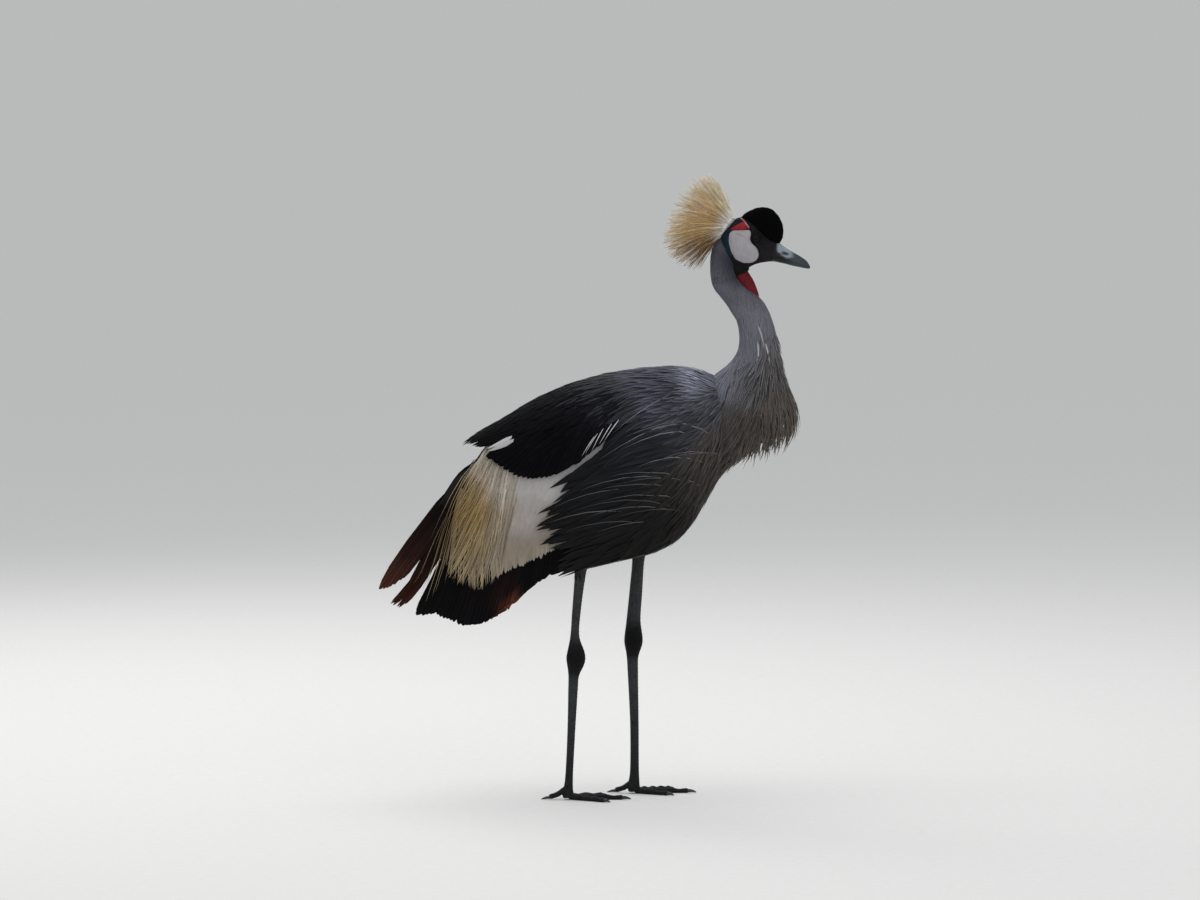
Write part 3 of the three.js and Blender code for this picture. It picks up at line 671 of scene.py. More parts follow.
@dataclass(frozen=True)
class FeatherFinish:
    """Keratin barbs zipped into a vane: fine slanting lines each side of a smooth shaft.

    The eye gets a soft streaky sheen along the barbs and a thin paler or darker shaft line. Real
    barbs, 0.3 mm apart, are too fine to show, so they are drawn coarser.

    Attributes:
        sheen: Weight of the soft glow of loose barbs.
        shaft: How much brighter the shaft is than the vane, as a share.
        shaft_width: Width in mm that the shaft's line fades over.
        streak: How far the barbs' brightness varies.
        bump: Height of the barbs in mm.
        gloss: Strength of the mirror-like part of the light.
        barb: Spacing of the drawn barbs in mm.
    """

    name: str
    roughness: float
    sheen: float
    shaft: float
    shaft_width: float
    streak: float
    bump: float = 0.25
    gloss: float = 0.3
    barb: float = 1.6

    @cache
    def build(self) -> Material:
        """Makes the material, which reads the Tint attribute and the Vane map, in units of 100 mm."""
        material, tree = blank_material(self.name)
        tint = add_node(tree, "Attribute", attribute_name="Tint")
        vane = add_node(tree, "UVMap", uv_map="Vane")
        parts = add_node(tree, "SeparateXYZ", {0: vane})
        off = add_node(tree, "Math", {0: parts.outputs["Y"], 1: 0.5}, operation="SUBTRACT")
        side = add_node(tree, "Math", {0: off}, operation="ABSOLUTE")
        slant = add_node(tree, "Math", {0: side, 1: 1.6, 2: parts}, operation="MULTIPLY_ADD")
        barbs = add_node(tree, "CombineXYZ", {"X": slant, "Y": side})
        spread = add_node(tree, "Mapping", {"Vector": barbs, "Scale": (100 / self.barb, 9.0, 1.0)})
        noise = add_node(tree, "TexNoise", {"Vector": spread, "Scale": 1.0, "Detail": 2.0, "Roughness": 0.6})
        shade = add_node(tree, "MapRange", {
            "Value": noise, "From Min": 0.3, "From Max": 0.7,
            "To Min": 1 - self.streak, "To Max": 1 + self.streak,
        })
        line = add_node(tree, "MapRange", {
            "Value": side, "From Min": 0.3 * self.shaft_width / 100, "From Max": self.shaft_width / 100,
            "To Min": 1 + self.shaft, "To Max": 1.0,
        })
        streaked = add_node(tree, "VectorMath", {0: tint, 1: shade}, operation="MULTIPLY")
        colour = add_node(tree, "VectorMath", {0: streaked, 1: line}, operation="MULTIPLY")
        bump = add_node(tree, "Bump", {"Height": noise, "Strength": 0.6, "Distance": self.bump * MM})
        add_surface(tree, {
            "Base Color": colour, "Normal": bump, "Roughness": self.roughness, "Sheen Weight": self.sheen,
            "Sheen Roughness": 0.5, "Specular IOR Level": self.gloss, "IOR": 1.5,
        })
        return material


@dataclass(frozen=True)
class DownFinish:
    """Skin and down under the feathers: matt, with the shadow colours that show between barbs.

    Attributes:
        fluff: Size of a tuft of down in mm.
        bump: Height of the down in mm.
    """

    name: str
    fluff: float = 2.5
    bump: float = 0.8

    @cache
    def build(self) -> Material:
        """Makes the material, which reads the Tint attribute."""
        material, tree = blank_material(self.name)
        tint = add_node(tree, "Attribute", attribute_name="Tint")
        place = add_node(tree, "TexCoord").outputs["Object"]
        fluff = add_node(tree, "TexNoise", {"Vector": place, "Scale": 1000 / self.fluff, "Detail": 3.0})
        bump = add_node(tree, "Bump", {"Height": fluff, "Strength": 0.7, "Distance": self.bump * MM})
        add_surface(tree, {"Base Color": tint, "Normal": bump, "Roughness": 0.9, "Specular IOR Level": 0.2})
        return material


@dataclass(frozen=True)
class HideFinish:
    """Bare skin, horn or scaly leather, mottled and finely wrinkled.

    Attributes:
        light: Colour of the high places of the grain.
        dark: Colour of its low places, as painted shade in the wrinkles and as the dark seams between scales.
        grain: Size of the wrinkles or scales in mm.
        bump: Height of the grain in mm.
        cells: Whether the grain is scales with edges, rather than wrinkles.
        subsurface: How far light goes into it.
        coat: Weight of a clear wet or waxy layer.
        tinted: Whether the Tint attribute multiplies the colour.
        gloss: Strength of the mirror-like part of the light.
    """

    name: str
    light: str
    dark: str
    grain: float
    roughness: float
    bump: float
    cells: bool = False
    subsurface: float = 0.0
    coat: float = 0.0
    tinted: bool = False
    gloss: float = 0.45

    @cache
    def build(self) -> Material:
        """Makes the material."""
        material, tree = blank_material(self.name)
        place = add_node(tree, "TexCoord").outputs["Object"]
        scale = 1 / (self.grain * MM)
        if self.cells:
            grain = add_node(tree, "TexVoronoi", {"Vector": place, "Scale": scale}, feature="DISTANCE_TO_EDGE")
            height = add_node(tree, "MapRange", {
                "Value": grain, "From Min": 0.0, "From Max": 0.18, "To Min": 0.0, "To Max": 1.0,
            })
        else:
            height = add_node(tree, "TexNoise", {
                "Vector": place, "Scale": scale, "Detail": 4.0, "Roughness": 0.6, "Distortion": 0.6,
            })
        blotch = add_node(tree, "TexNoise", {"Vector": place, "Scale": scale * 0.2, "Detail": 3.0})
        # Painted shade: the grain's low places take the dark colour, mottled by the blotches; on scales these
        # are the dark seams.
        share = add_node(tree, "Math", {0: height, 1: blotch}, operation="MULTIPLY")
        spread = add_node(tree, "MapRange", {
            "Value": share, "From Min": 0.05, "From Max": 0.45, "To Min": 0.0, "To Max": 1.0,
        })
        colour = add_node(
            tree, "Mix", {0: spread, 6: rgba(self.dark), 7: rgba(self.light)}, data_type="RGBA"
        ).outputs[2]
        if self.tinted:
            tint = add_node(tree, "Attribute", attribute_name="Tint")
            colour = add_node(tree, "VectorMath", {0: colour, 1: tint}, operation="MULTIPLY")
        bump = add_node(tree, "Bump", {"Height": height, "Strength": 0.8, "Distance": self.bump * MM})
        add_surface(tree, {
            "Base Color": colour, "Normal": bump, "Roughness": self.roughness,
            "Specular IOR Level": self.gloss, "Subsurface Weight": self.subsurface,
            "Subsurface Scale": 1.5 * MM, "Coat Weight": self.coat, "Coat Roughness": 0.25,
        })
        return material


# Loose grey barbs of neck, breast and back: a soft glow and pale shafts.
GREY_CONTOUR = FeatherFinish("grey_contour_feather", 0.7, 0.04, 0.5, 0.8, 0.25, gloss=0.15)
# Firmer slate feathers of the flanks: darker, with a low sheen along the vane.
SLATE_FLANK = FeatherFinish("slate_flank_feather", 0.6, 0.0, 0.5, 1.0, 0.2, gloss=0.1)
# Melanin-black vanes of shoulders, wings and tail: they swallow nearly all light.
BLACK_QUILL = FeatherFinish("black_quill", 0.75, 0.0, 0.7, 1.2, 0.25, gloss=0.02)
# White coverts packed into a smooth shield: almost no line between the feathers.
WHITE_COVERT = FeatherFinish("white_covert", 0.7, 0.0, 0.1, 0.9, 0.05, bump=0.12)
# Loose golden plumes: each catches the light along its own length.
GOLDEN_PLUME = FeatherFinish("golden_plume", 0.55, 0.0, 0.3, 0.8, 0.3)
# Stiff bristles of the crest: polished straw.
STRAW_BRISTLE = FeatherFinish("straw_bristle", 0.45, 0.1, 0.2, 0.8, 0.25)
# Tiny close feathers of face and throat: plush without shafts.
FACE_DOWN = FeatherFinish("face_down", 0.75, 0.0, 0.0, 0.8, 0.2, gloss=0.2)
# Dense upright pile of the forehead: the blackest and most matt part.
VELVET_PILE = FeatherFinish("velvet_pile", 0.95, 0.0, 0.0, 0.8, 0.2, gloss=0.05)
# Skin under the coat: seen only as shadow in the gaps.
FEATHER_DOWN = DownFinish("feather_down")
# Bare cheek: chalky skin with fine wrinkles and a rosy crease.
BARE_WHITE = HideFinish("bare_white_skin", "#a9a6aa", "#959095", 1.6, 0.62, 0.18, subsurface=0.15,
                        tinted=True, gloss=0.25)
# Bare skin full of blood, over the cheek and as its pale edge.
BARE_RED = HideFinish("bare_red_skin", "#98222d", "#6c151d", 1.3, 0.6, 0.35, subsurface=0.1, gloss=0.15)
BARE_ROSE = HideFinish("bare_rose_skin", "#b3888b", "#94595e", 1.5, 0.6, 0.25, subsurface=0.1, gloss=0.2)
# Wattle: darker and softer red skin in coarse folds.
WATTLE_SKIN = HideFinish("wattle_skin", "#741a22", "#490f14", 1.8, 0.6, 0.6, subsurface=0.1, gloss=0.15)
# Eye: dark iris and pupil under a wet clear cornea, and dull skin round it.
IRIS = HideFinish("dark_brown_iris", "#1c130f", "#0c0806", 0.5, 0.3, 0.03, coat=0.12, gloss=0.08)
PUPIL = HideFinish("pupil", "#030304", "#020202", 1.0, 0.2, 0.0, coat=0.12, gloss=0.05)
EYELID = HideFinish("dark_eyelid", "#131116", "#08070a", 0.9, 0.8, 0.3, gloss=0.1)
# Keratin sheath of the bill: slate-grey, waxy and half glossy, its shades painted on, with a painted highlight
# along its base and painted shade in the nostrils.
BILL_HORN = HideFinish("bill_horn", "#ffffff", "#dcdcdc", 2.2, 0.5, 0.12, coat=0.05, tinted=True, gloss=0.25)
# Leathery scales of the legs: dry, with dark seams between them.
LEG_SCALES = HideFinish("leg_scales", "#3e4041", "#1d1e1f", 2.4, 0.6, 0.4, cells=True, tinted=True, gloss=0.14)
# Claws: harder and glossier horn.
CLAW_HORN = HideFinish("claw_horn", "#26262a", "#121214", 3.0, 0.35, 0.1, coat=0.2)
# Floor of the studio: board under matt paint.
PAINTED_BOARD = HideFinish("painted_board", "#ecebe8", "#e4e3e0", 3.0, 0.85, 0.02)


# Meshes


def wear(piece: Piece, slot: str, *nodes: str) -> None:
    """Hands a piece to the frame's body and hides the solids it stands for."""
    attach(piece, BODY)
    if nodes:
        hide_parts(*nodes)
    log.info("%s: %d faces", piece.name, len(piece.data.polygons))


def mesh_object(name: str, points: Array, faces: Array) -> Piece:
    """Makes a linked object from arrays.

    Args:
        name: Name of the piece.
        points: Places in metres, one row each.
        faces: Triangles as rows of three point numbers.

    Returns:
        The object, at the origin.
    """
    mesh = bpy.data.meshes.new(name)
    mesh.vertices.add(len(points))
    mesh.vertices.foreach_set("co", points.astype(np.float32).ravel())
    mesh.loops.add(faces.size)
    mesh.loops.foreach_set("vertex_index", faces.astype(np.int32).ravel())
    mesh.polygons.add(len(faces))
    mesh.polygons.foreach_set("loop_start", np.arange(0, faces.size, 3, dtype=np.int32))
    mesh.update(calc_edges=True)
    made = bpy.data.objects.new(name, mesh)
    bpy.context.scene.collection.objects.link(made)
    return made


def closed_tubes(count: int, rows: int, sides: int) -> Array:
    """Numbers the triangles of many closed tubes.

    Args:
        count: Number of tubes.
        rows: Intervals along each.
        sides: Points round each.

    Returns:
        Triangles as rows of three point numbers, tube after tube.
    """
    r, m = np.meshgrid(np.arange(rows), np.arange(sides), indexing="ij")
    n = (m + 1) % sides
    low, low_next, top, top_next = r * sides + m, r * sides + n, (r + 1) * sides + m, (r + 1) * sides + n
    walls = np.stack([low, top, top_next, low, top_next, low_next], axis=-1).reshape(-1, 3)
    fan = np.array([(0, i, i + 1) for i in range(1, sides - 1)])
    one = np.concatenate([walls, fan, (fan + rows * sides)[:, ::-1]])
    return (one[None] + (np.arange(count) * (rows + 1) * sides)[:, None, None]).reshape(-1, 3)


def paint(mesh: Mesh, colour: Array) -> None:
    """Gives each point of a mesh its own colour, or all of them one, in the Tint attribute."""
    values = np.ones((len(mesh.vertices), 4), np.float32)
    values[:, :3] = np.clip(colour, 0, 1)
    mesh.color_attributes.new("Tint", "FLOAT_COLOR", "POINT").data.foreach_set("color", values.ravel())


def add_map(mesh: Mesh, name: str, places: Array) -> None:
    """Gives each point of a mesh its place on a new UV map."""
    loops = np.empty(len(mesh.loops), np.int32)
    mesh.loops.foreach_get("vertex_index", loops)
    mesh.uv_layers.new(name=name).data.foreach_set("uv", places[loops].astype(np.float32).ravel())


def places_of(mesh: Mesh) -> Array:
    """Reads a mesh's points in mm."""
    values = np.empty(len(mesh.vertices) * 3, np.float32)
    mesh.vertices.foreach_get("co", values)
    return values.reshape(-1, 3).astype(float) / MM


def move_points(mesh: Mesh, places: Array) -> None:
    """Writes a mesh's points from mm."""
    mesh.vertices.foreach_set("co", (places * MM).astype(np.float32).ravel())
    mesh.update()


def put(verts: Sequence[bmesh.types.BMVert], places: Array) -> None:
    """Moves a bmesh's points to places in mm."""
    for vert, place in zip(verts, places):
        vert.co = Vector(place) * MM


def edges_of(bm: BMesh, ring: Sequence[bmesh.types.BMVert]) -> list[bmesh.types.BMEdge]:
    """Finds the edges between neighbours of a ring."""
    return [bm.edges.get((ring[i - 1], ring[i])) for i in range(len(ring))]


def loft(bm: BMesh, sections: Sequence[Array]) -> None:
    """Extrudes a closed ring through sections and fills both ends.

    Args:
        bm: Mesh to add to.
        sections: Rings of places in mm, all with the same number of points.
    """
    ring = bmesh.ops.create_circle(bm, segments=len(sections[0]), radius=1)["verts"]
    put(ring, sections[0])
    bmesh.ops.edgeloop_fill(bm, edges=edges_of(bm, ring))
    for section in sections[1:]:
        new = bmesh.ops.extrude_edge_only(bm, edges=edges_of(bm, ring))["geom"]
        fresh = {item for item in new if isinstance(item, bmesh.types.BMVert)}
        ring = [next(e.other_vert(v) for e in v.link_edges if e.other_vert(v) in fresh) for v in ring]
        put(ring, section)
    bmesh.ops.edgeloop_fill(bm, edges=edges_of(bm, ring))


def add_ball(bm: BMesh, round_it: int, up: int) -> tuple[list[bmesh.types.BMVert], Array]:
    """Adds a sphere of radius 1 with segments round it and up it, and gives its points and places."""
    verts = bmesh.ops.create_uvsphere(bm, u_segments=round_it, v_segments=up, radius=1)["verts"]
    return verts, np.array([tuple(v.co) for v in verts])


def object_from(bm: BMesh, name: str, *materials: Material) -> Piece:
    """Turns a bmesh into a linked object with its faces pointing out.

    Args:
        bm: The mesh, freed afterwards.
        name: Name of the piece.
        materials: Its materials.

    Returns:
        The object, at the origin.
    """
    bmesh.ops.recalc_face_normals(bm, faces=bm.faces)
    mesh = bpy.data.meshes.new(name)
    bm.to_mesh(mesh)
    bm.free()
    mesh.shade_smooth()
    for material in materials:
        mesh.materials.append(material)
    made = bpy.data.objects.new(name, mesh)
    bpy.context.scene.collection.objects.link(made)
    return made


def fuse(source: Piece, voxels: Pair) -> None:
    """Fuses a piece's overlapping shells into one smooth skin.

    Args:
        source: The piece, whose mesh is replaced.
    """
    remesh = source.modifiers.new("Fuse", "REMESH")
    remesh.mode, remesh.voxel_size = "VOXEL", voxels[0] * MM
    soften = source.modifiers.new("Soften", "SMOOTH")
    soften.factor, soften.iterations = 0.5, 2
    old = source.data
    fused = bpy.data.meshes.new_from_object(source.evaluated_get(bpy.context.evaluated_depsgraph_get()))
    source.modifiers.clear()
    fused.name = old.name
    source.data = fused
    for material in old.materials:
        if material.name not in fused.materials:
            fused.materials.append(material)
    bpy.data.meshes.remove(old)
    fused.shade_smooth()


# Feathers as solid mesh


class Section(Enum):
    """Cross-section of a feather: places across it and heights, in shares of width and thickness."""

    SLIM = ((-1, 0), (0, 1), (1, 0))
    VANE = ((-1, 0), (0, 1), (1, 0), (0, -0.2))
    BROAD = ((-1, -0.5), (-0.5, 0.35), (0, 1), (0.5, 0.35), (1, -0.5), (0, -0.4))


class Shape(Enum):
    """Outline of a feather: shares of its length and of its width, from root to tip."""

    BLUNT = ((0, 0.35), (0.12, 0.7), (0.35, 1), (0.7, 1), (0.88, 0.8), (0.97, 0.45), (1, 0.1))
    ROUND = ((0, 0.4), (0.25, 0.85), (0.55, 1), (0.8, 0.9), (0.94, 0.55), (1, 0.08))
    POINTED = ((0, 0.35), (0.2, 0.8), (0.45, 1), (0.7, 0.75), (0.88, 0.4), (1, 0.04))
    SLENDER = ((0, 0.5), (0.25, 1), (0.5, 0.85), (0.75, 0.55), (0.9, 0.3), (1, 0.04))
    TUFT = ((0, 0.8), (0.4, 1), (0.75, 0.6), (1, 0.06))


@dataclass(frozen=True)
class Batch:
    """Feathers to be made, one entry of each array for one feather. Lengths are in mm.

    Attributes:
        a: First coordinate of each root.
        b: Second coordinate of each root.
        along: Step in (a, b) for each millimetre along the feather.
        side: Step in (a, b) for each millimetre across it.
        length: Length of each.
        width: Half width of each.
        root: Height of each root over the surface.
        tip: Height of each tip over the surface.
        bow: Sideways bend as a share of the length.
        roll: Height of one edge over the middle line.
        shade: Brightness of each.
    """

    a: Array
    b: Array
    along: Array
    side: Array
    length: Array
    width: Array
    root: Array
    tip: Array
    bow: Array
    roll: Array
    shade: Array

    @classmethod
    def between(cls, start: Array, end: Array, **rest: Array) -> Batch:
        """Makes feathers that reach from rows of (a, b) to others.

        Args:
            start: Places of the roots.
            end: Places of the tips.
            rest: Arrays of width, root, tip, bow, roll and shade.

        Returns:
            The feathers.
        """
        way = end - start
        length = np.linalg.norm(way, axis=-1)
        along = way / length[:, None]
        across = np.stack([-along[:, 1], along[:, 0]], axis=-1)
        return cls(a=start[:, 0], b=start[:, 1], along=along, side=across, length=length, **rest)

    @classmethod
    def joined(cls, batches: Sequence[Batch]) -> Batch:
        """Puts several batches one after the other."""
        names = (field.name for field in fields(cls))
        return cls(**{name: np.concatenate([getattr(batch, name) for batch in batches]) for name in names})

    def only(self, kept: Array) -> Batch:
        """Gives the feathers for which kept is true."""
        return Batch(**{f.name: getattr(self, f.name)[kept] for f in fields(self)})


def each(values: Array) -> Array:
    """Gives numbers, one for each feather, two more axes for its rows and points."""
    return np.asarray(values, float)[:, None, None]


@dataclass(frozen=True)
class Plumage:
    """Feathers of one tract, joined into one piece.

    Attributes:
        name: Name of the piece.
        slot: Name of a slot; not used.
        colours: Colour at each place of the bird's side.
        shape: Outline of each.
        section: Cross-section of each.
        thickness: Height of the shaft over the edges in mm.
        rim: How much brighter the tip and the edges are, as a share.
        dip: How far the tip's colour goes to another, and that colour.
        unwrap: Lowest a, lowest b and span of the map, in mm.
        nodes: Solids that the piece stands for.
    """

    name: str
    slot: str
    surface: Surface
    colours: Field
    finish: FeatherFinish
    shape: Shape = Shape.ROUND
    section: Section = Section.SLIM
    thickness: float = 0.8
    rim: float = 0.0
    dip: tuple[float, str] = (0.0, "#000000")
    unwrap: Triple = (-420, -400, 800)
    nodes: tuple[str, ...] = ()

    def points(self, batch: Batch) -> tuple[Array, Array, Array]:
        """Works out where the feathers' points lie.

        Args:
            batch: The feathers.

        Returns:
            Places in mm, distances along and distances across, each by feather, row and point.
        """
        t, share = np.array(self.shape.value, float).T[:, None, :, None]
        across, height = np.array(self.section.value, float).T[:, None, None, :]
        reach = each(batch.length) * t + 0 * across
        offset = each(batch.width) * share * across
        sideways = offset + each(batch.bow) * each(batch.length) * t**2
        lift = each(batch.root) + each(batch.tip - batch.root) * t**0.7
        lift = lift + self.thickness * height * np.minimum(1, share * 2) + each(batch.roll) * across * share
        a, b = (
            each(start) + each(batch.along[:, i]) * reach + each(batch.side[:, i]) * sideways
            for i, start in enumerate((batch.a, batch.b))
        )
        return lifted(self.surface, a, b, lift), reach, offset

    def build(self, *batches: Batch) -> None:
        """Makes the piece, with its Tint attribute, Vane map and OFBake map.

        Args:
            batches: The feathers.
        """
        batch = Batch.joined(batches)
        places, reach, offset = self.points(batch)
        count, rows, sides = reach.shape
        made = mesh_object(self.name, places.reshape(-1, 3) * MM, closed_tubes(count, rows - 1, sides))
        mesh = made.data
        share, edge = reach / each(batch.length), offset / each(batch.width)
        rim = self.rim * np.maximum(smooth_step(0.75, 1.0, share), smooth_step(0.7, 1.0, np.abs(edge)) * 0.6)
        colour = self.colours.at(places[..., 0], places[..., 2]) * each(batch.shade)[..., None]
        colour = colour * (1 + rim[..., None])
        dipped, other = self.dip
        colour = mix(colour, linear(other), (dipped * smooth_step(0.55, 0.9, share))[..., None])
        paint(mesh, colour.reshape(-1, 3))
        add_map(mesh, "Vane", np.stack([reach / 100, 0.5 + offset / 100], axis=-1).reshape(-1, 2))
        low_a, low_b, span = self.unwrap
        root = np.stack([(batch.a - low_a) / span, (batch.b - low_b) / span], axis=-1)[:, None, None]
        patch = np.stack([share - 0.5, 0.5 * edge], axis=-1) * BAKE_PATCH
        add_map(mesh, "OFBake", np.clip((root + patch).reshape(-1, 2), 0, 1))
        mesh.shade_smooth()
        mesh.set_sharp_from_angle(angle=math.radians(50))
        mesh.materials.append(self.finish.build())
        wear(made, self.slot, *self.nodes)


def scatter(low: Pair, high: Pair, pitch: Pair, seed: int) -> tuple[Array, Array]:
    """Spreads places over a rectangle in staggered, slightly uneven rows.

    Args:
        low: Lowest a and b.
        high: Highest a and b.
        pitch: Spacing in a and b.
        seed: Start of the random numbers.

    Returns:
        The coordinates a and b.
    """
    rng = np.random.default_rng(seed)
    a, b = np.meshgrid(*(np.arange(*ends) for ends in zip(low, high, pitch)), indexing="ij")
    a = a + (np.arange(a.shape[1]) % 2) * pitch[0] / 2
    a = a + rng.uniform(-0.35, 0.35, a.shape) * pitch[0]
    b = b + rng.uniform(-0.35, 0.35, b.shape) * pitch[1]
    return a.ravel(), b.ravel()


def headings(angle: Array) -> Array:
    """Turns angles in the side view, in degrees from straight ahead, into rows of x, y, z."""
    turn = np.radians(angle)
    return np.stack([np.cos(turn), 0 * turn, np.sin(turn)], axis=-1)


@dataclass(frozen=True)
class Lie:
    """How the feathers of one tract lie. Lengths are in mm.

    Attributes:
        width: Half width.
        root: Height of the root over the surface.
        tip: Height of the tip over the surface.
        bow: Sideways bend as a share of the length, random to either side.
        roll: Height of one edge over the middle line.
        ruffle: Random height of the tips.
        turn: Random turn in degrees.
        vary: Random share of length and width.
        shade: Random share of brightness.
        rooted: Whether the places given are those of the roots, not of the tips.
    """

    length: float
    width: float
    root: float
    tip: float
    bow: float = 0.03
    roll: float = 0.15
    ruffle: float = 0.4
    turn: float = 4.0
    vary: float = 0.12
    shade: float = 0.12
    rooted: bool = False

    def feathers(
        self, surface: Surface, a: Array, b: Array, angle: Array | float, seed: int,
        length: Array | None = None,
    ) -> Batch:
        """Lays feathers on a surface.

        Args:
            surface: The surface.
            a: First coordinate of each.
            b: Second coordinate of each.
            angle: Angle in the side view, of each or of all.
            seed: Start of the random numbers.
            length: Length of each, if it isn't the same for all.

        Returns:
            The feathers.
        """
        rng = np.random.default_rng(seed)

        def noise(size: float) -> Array:
            """Draws a random number of about this size for each feather."""
            return rng.normal(0, 1, len(a)).clip(-2, 2) * size

        along, side = tangent_steps(surface, a, b, headings(angle + 0.0 * a))
        turn = np.radians(noise(self.turn))[:, None]
        along, side = along * np.cos(turn) + side * np.sin(turn), side * np.cos(turn) - along * np.sin(turn)
        reach = (self.length if length is None else length) * (1 + noise(self.vary))
        if not self.rooted:
            a, b = a - along[:, 0] * reach, b - along[:, 1] * reach
        return Batch(
            a=a, b=b, along=along, side=side, length=reach, width=self.width * (1 + noise(self.vary)),
            root=self.root + noise(0.15), tip=self.tip + noise(self.ruffle), bow=noise(self.bow),
            roll=noise(self.roll), shade=1 + noise(self.shade),
        )


# The studio


@dataclass(frozen=True)
class Studio:
    """Camera at the photograph's angle, soft lights and a pale floor. Sizes are in metres.

    Attributes:
        distance: Distance of the camera.
        target: Point that it looks at.
        elevation: Height of the view in degrees.
        frame_width: Width of the view at the bird.
        floor_radius: Radius of the floor.
        lights: Name, place, width and height, and power in watts of each lamp.
    """

    distance: float = 12.0
    target: Triple = (0.0088, 0.0, 0.557)
    elevation: float = 4.0
    frame_width: float = 1.92
    floor_radius: float = 200.0
    lights: tuple[tuple[str, Triple, Pair, float], ...] = (
        ("overhead", (-0.6, 0.5, 3.4), (4.0, 3.0), 52.0),
        ("rim", (-1.6, 2.8, 2.6), (2.5, 1.6), 26.0),
        ("fill", (1.4, -4.2, 2.2), (3.2, 2.4), 30.0),
    )

    def build(self) -> None:
        """Makes camera, lights, world and floor."""
        rise = math.radians(self.elevation)
        data = bpy.data.cameras.new("camera")
        data.sensor_width = 36.0
        data.lens = data.sensor_width * self.distance / self.frame_width
        data.clip_end = 2 * self.floor_radius
        place = Vector(self.target) + Vector((0, -math.cos(rise), math.sin(rise))) * self.distance
        bpy.context.scene.camera = self.aim("camera", data, place)
        for name, place, (width, height), power in self.lights:
            data = bpy.data.lights.new(name, "AREA")
            data.shape = "RECTANGLE"
            data.size, data.size_y, data.energy = width, height, power
            self.aim(name, data, Vector(place))
        world = bpy.data.worlds.new("studio_air")
        world.use_nodes = True
        backdrop = world.node_tree.nodes["Background"]
        backdrop.inputs["Color"].default_value = rgba("#d9dbde")
        backdrop.inputs["Strength"].default_value = 0.85
        bpy.context.scene.world = world
        bpy.context.scene.view_settings.view_transform = "Standard"
        bm = bmesh.new()
        bmesh.ops.create_circle(bm, cap_ends=True, segments=96, radius=self.floor_radius)
        object_from(bm, "floor", PAINTED_BOARD.build())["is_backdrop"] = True

    def aim(self, name: str, data: bpy.types.ID, place: Vector) -> Piece:
        """Links a camera or a light at a place, turned to the target, and gives its object."""
        made = bpy.data.objects.new(name, data)
        bpy.context.scene.collection.objects.link(made)
        made.location = place
        made.rotation_euler = (Vector(self.target) - place).to_track_quat("-Z", "Y").to_euler()
        return made


# Colours and lie of the coat, by place on the bird's side


COAT_COLOURS = colour_field((
    # Ridge of the back, from the foot of the neck to the rump
    (180, 681, "#666974"), (80, 685, "#2e3038"), (-16, 664, "#111215"), (-80, 640, "#070709"),
    (-190, 585, "#050506"),
    # Shoulder, from the front to the wing
    (106, 642, "#2c2d34"), (23, 622, "#17181c"), (-65, 583, "#0b0c0e"), (-105, 545, "#0a0b0d"),
    (-7, 583, "#101115"),
    # Side of the breast, then the flank downwards
    (130, 603, "#2b2c31"), (194, 637, "#414248"), (82, 559, "#18191c"), (33, 495, "#101113"),
    (8, 461, "#0f1011"), (82, 446, "#100f10"),
    # Lower breast and belly
    (130, 485, "#1e1c1b"), (155, 495, "#292624"), (130, 436, "#161413"), (57, 397, "#0c0c0b"),
    (-16, 427, "#0d0d0e"),
    # Front of the breast
    (228, 583, "#3d3935"), (228, 657, "#4e4e54"), (190, 520, "#35302d"), (200, 560, "#3b3735"),
))
# Direction of the feathers in degrees, 180 being level to the rear and 270 straight down.
COAT_FLOW = Field((
    # Back
    (180, 681, 182), (82, 681, 184), (-16, 662, 197), (-114, 622, 207), (-173, 588, 208),
    # Shoulder
    (106, 642, 195), (23, 622, 218), (-7, 583, 235), (-65, 583, 218), (-105, 544, 222),
    # Side of the breast and flank
    (130, 603, 208), (194, 637, 215), (82, 559, 198), (33, 495, 194), (8, 461, 200),
    # Belly
    (82, 446, 212), (130, 485, 225), (155, 495, 235), (130, 436, 222), (57, 397, 215),
    (-16, 427, 205),
    # Front of the breast
    (228, 583, 252), (228, 657, 248), (277, 608, 272),
))
SHOULDER_COLOURS = colour_field((
    (-114, 625, "#0a0a0c"), (-190, 585, "#070708"), (-65, 640, "#0f0f12"), (-65, 583, "#08080a"),
    (-105, 545, "#08080a"), (-7, 583, "#0c0c0f"), (10, 620, "#131318"),
))
# Pale shaft lines of the flank, brightest at its top and front.
LINE_COLOURS = colour_field((
    (100, 590, "#63646c"), (33, 540, "#4b4c52"), (0, 480, "#46464a"), (60, 440, "#3d3c3b"),
    (110, 480, "#4a4845"), (20, 395, "#201f1e"), (-20, 440, "#38383c"), (120, 420, "#33302d"),
), 30)
NECK_COLOURS = colour_field((
    # Nape and throat under the black of the face
    (192, 880, "#47474e"), (187, 862, "#4b4b54"), (210, 862, "#1b252d"), (226, 850, "#0c0c0e"),
    # Neck downwards, its rear before its front
    (190, 838, "#525359"), (218, 835, "#35363c"), (203, 815, "#56575f"), (240, 806, "#54555b"),
    (232, 770, "#5c5e65"), (272, 770, "#5f6067"), (232, 720, "#5b5d65"), (285, 730, "#58575b"),
    # Foot of the neck
    (205, 680, "#646670"), (295, 690, "#514e4d"), (230, 680, "#595a60"),
    # Breast plumes
    (250, 660, "#4c4a4b"), (290, 620, "#4c4641"), (250, 590, "#413c37"), (205, 600, "#3d3a38"),
))


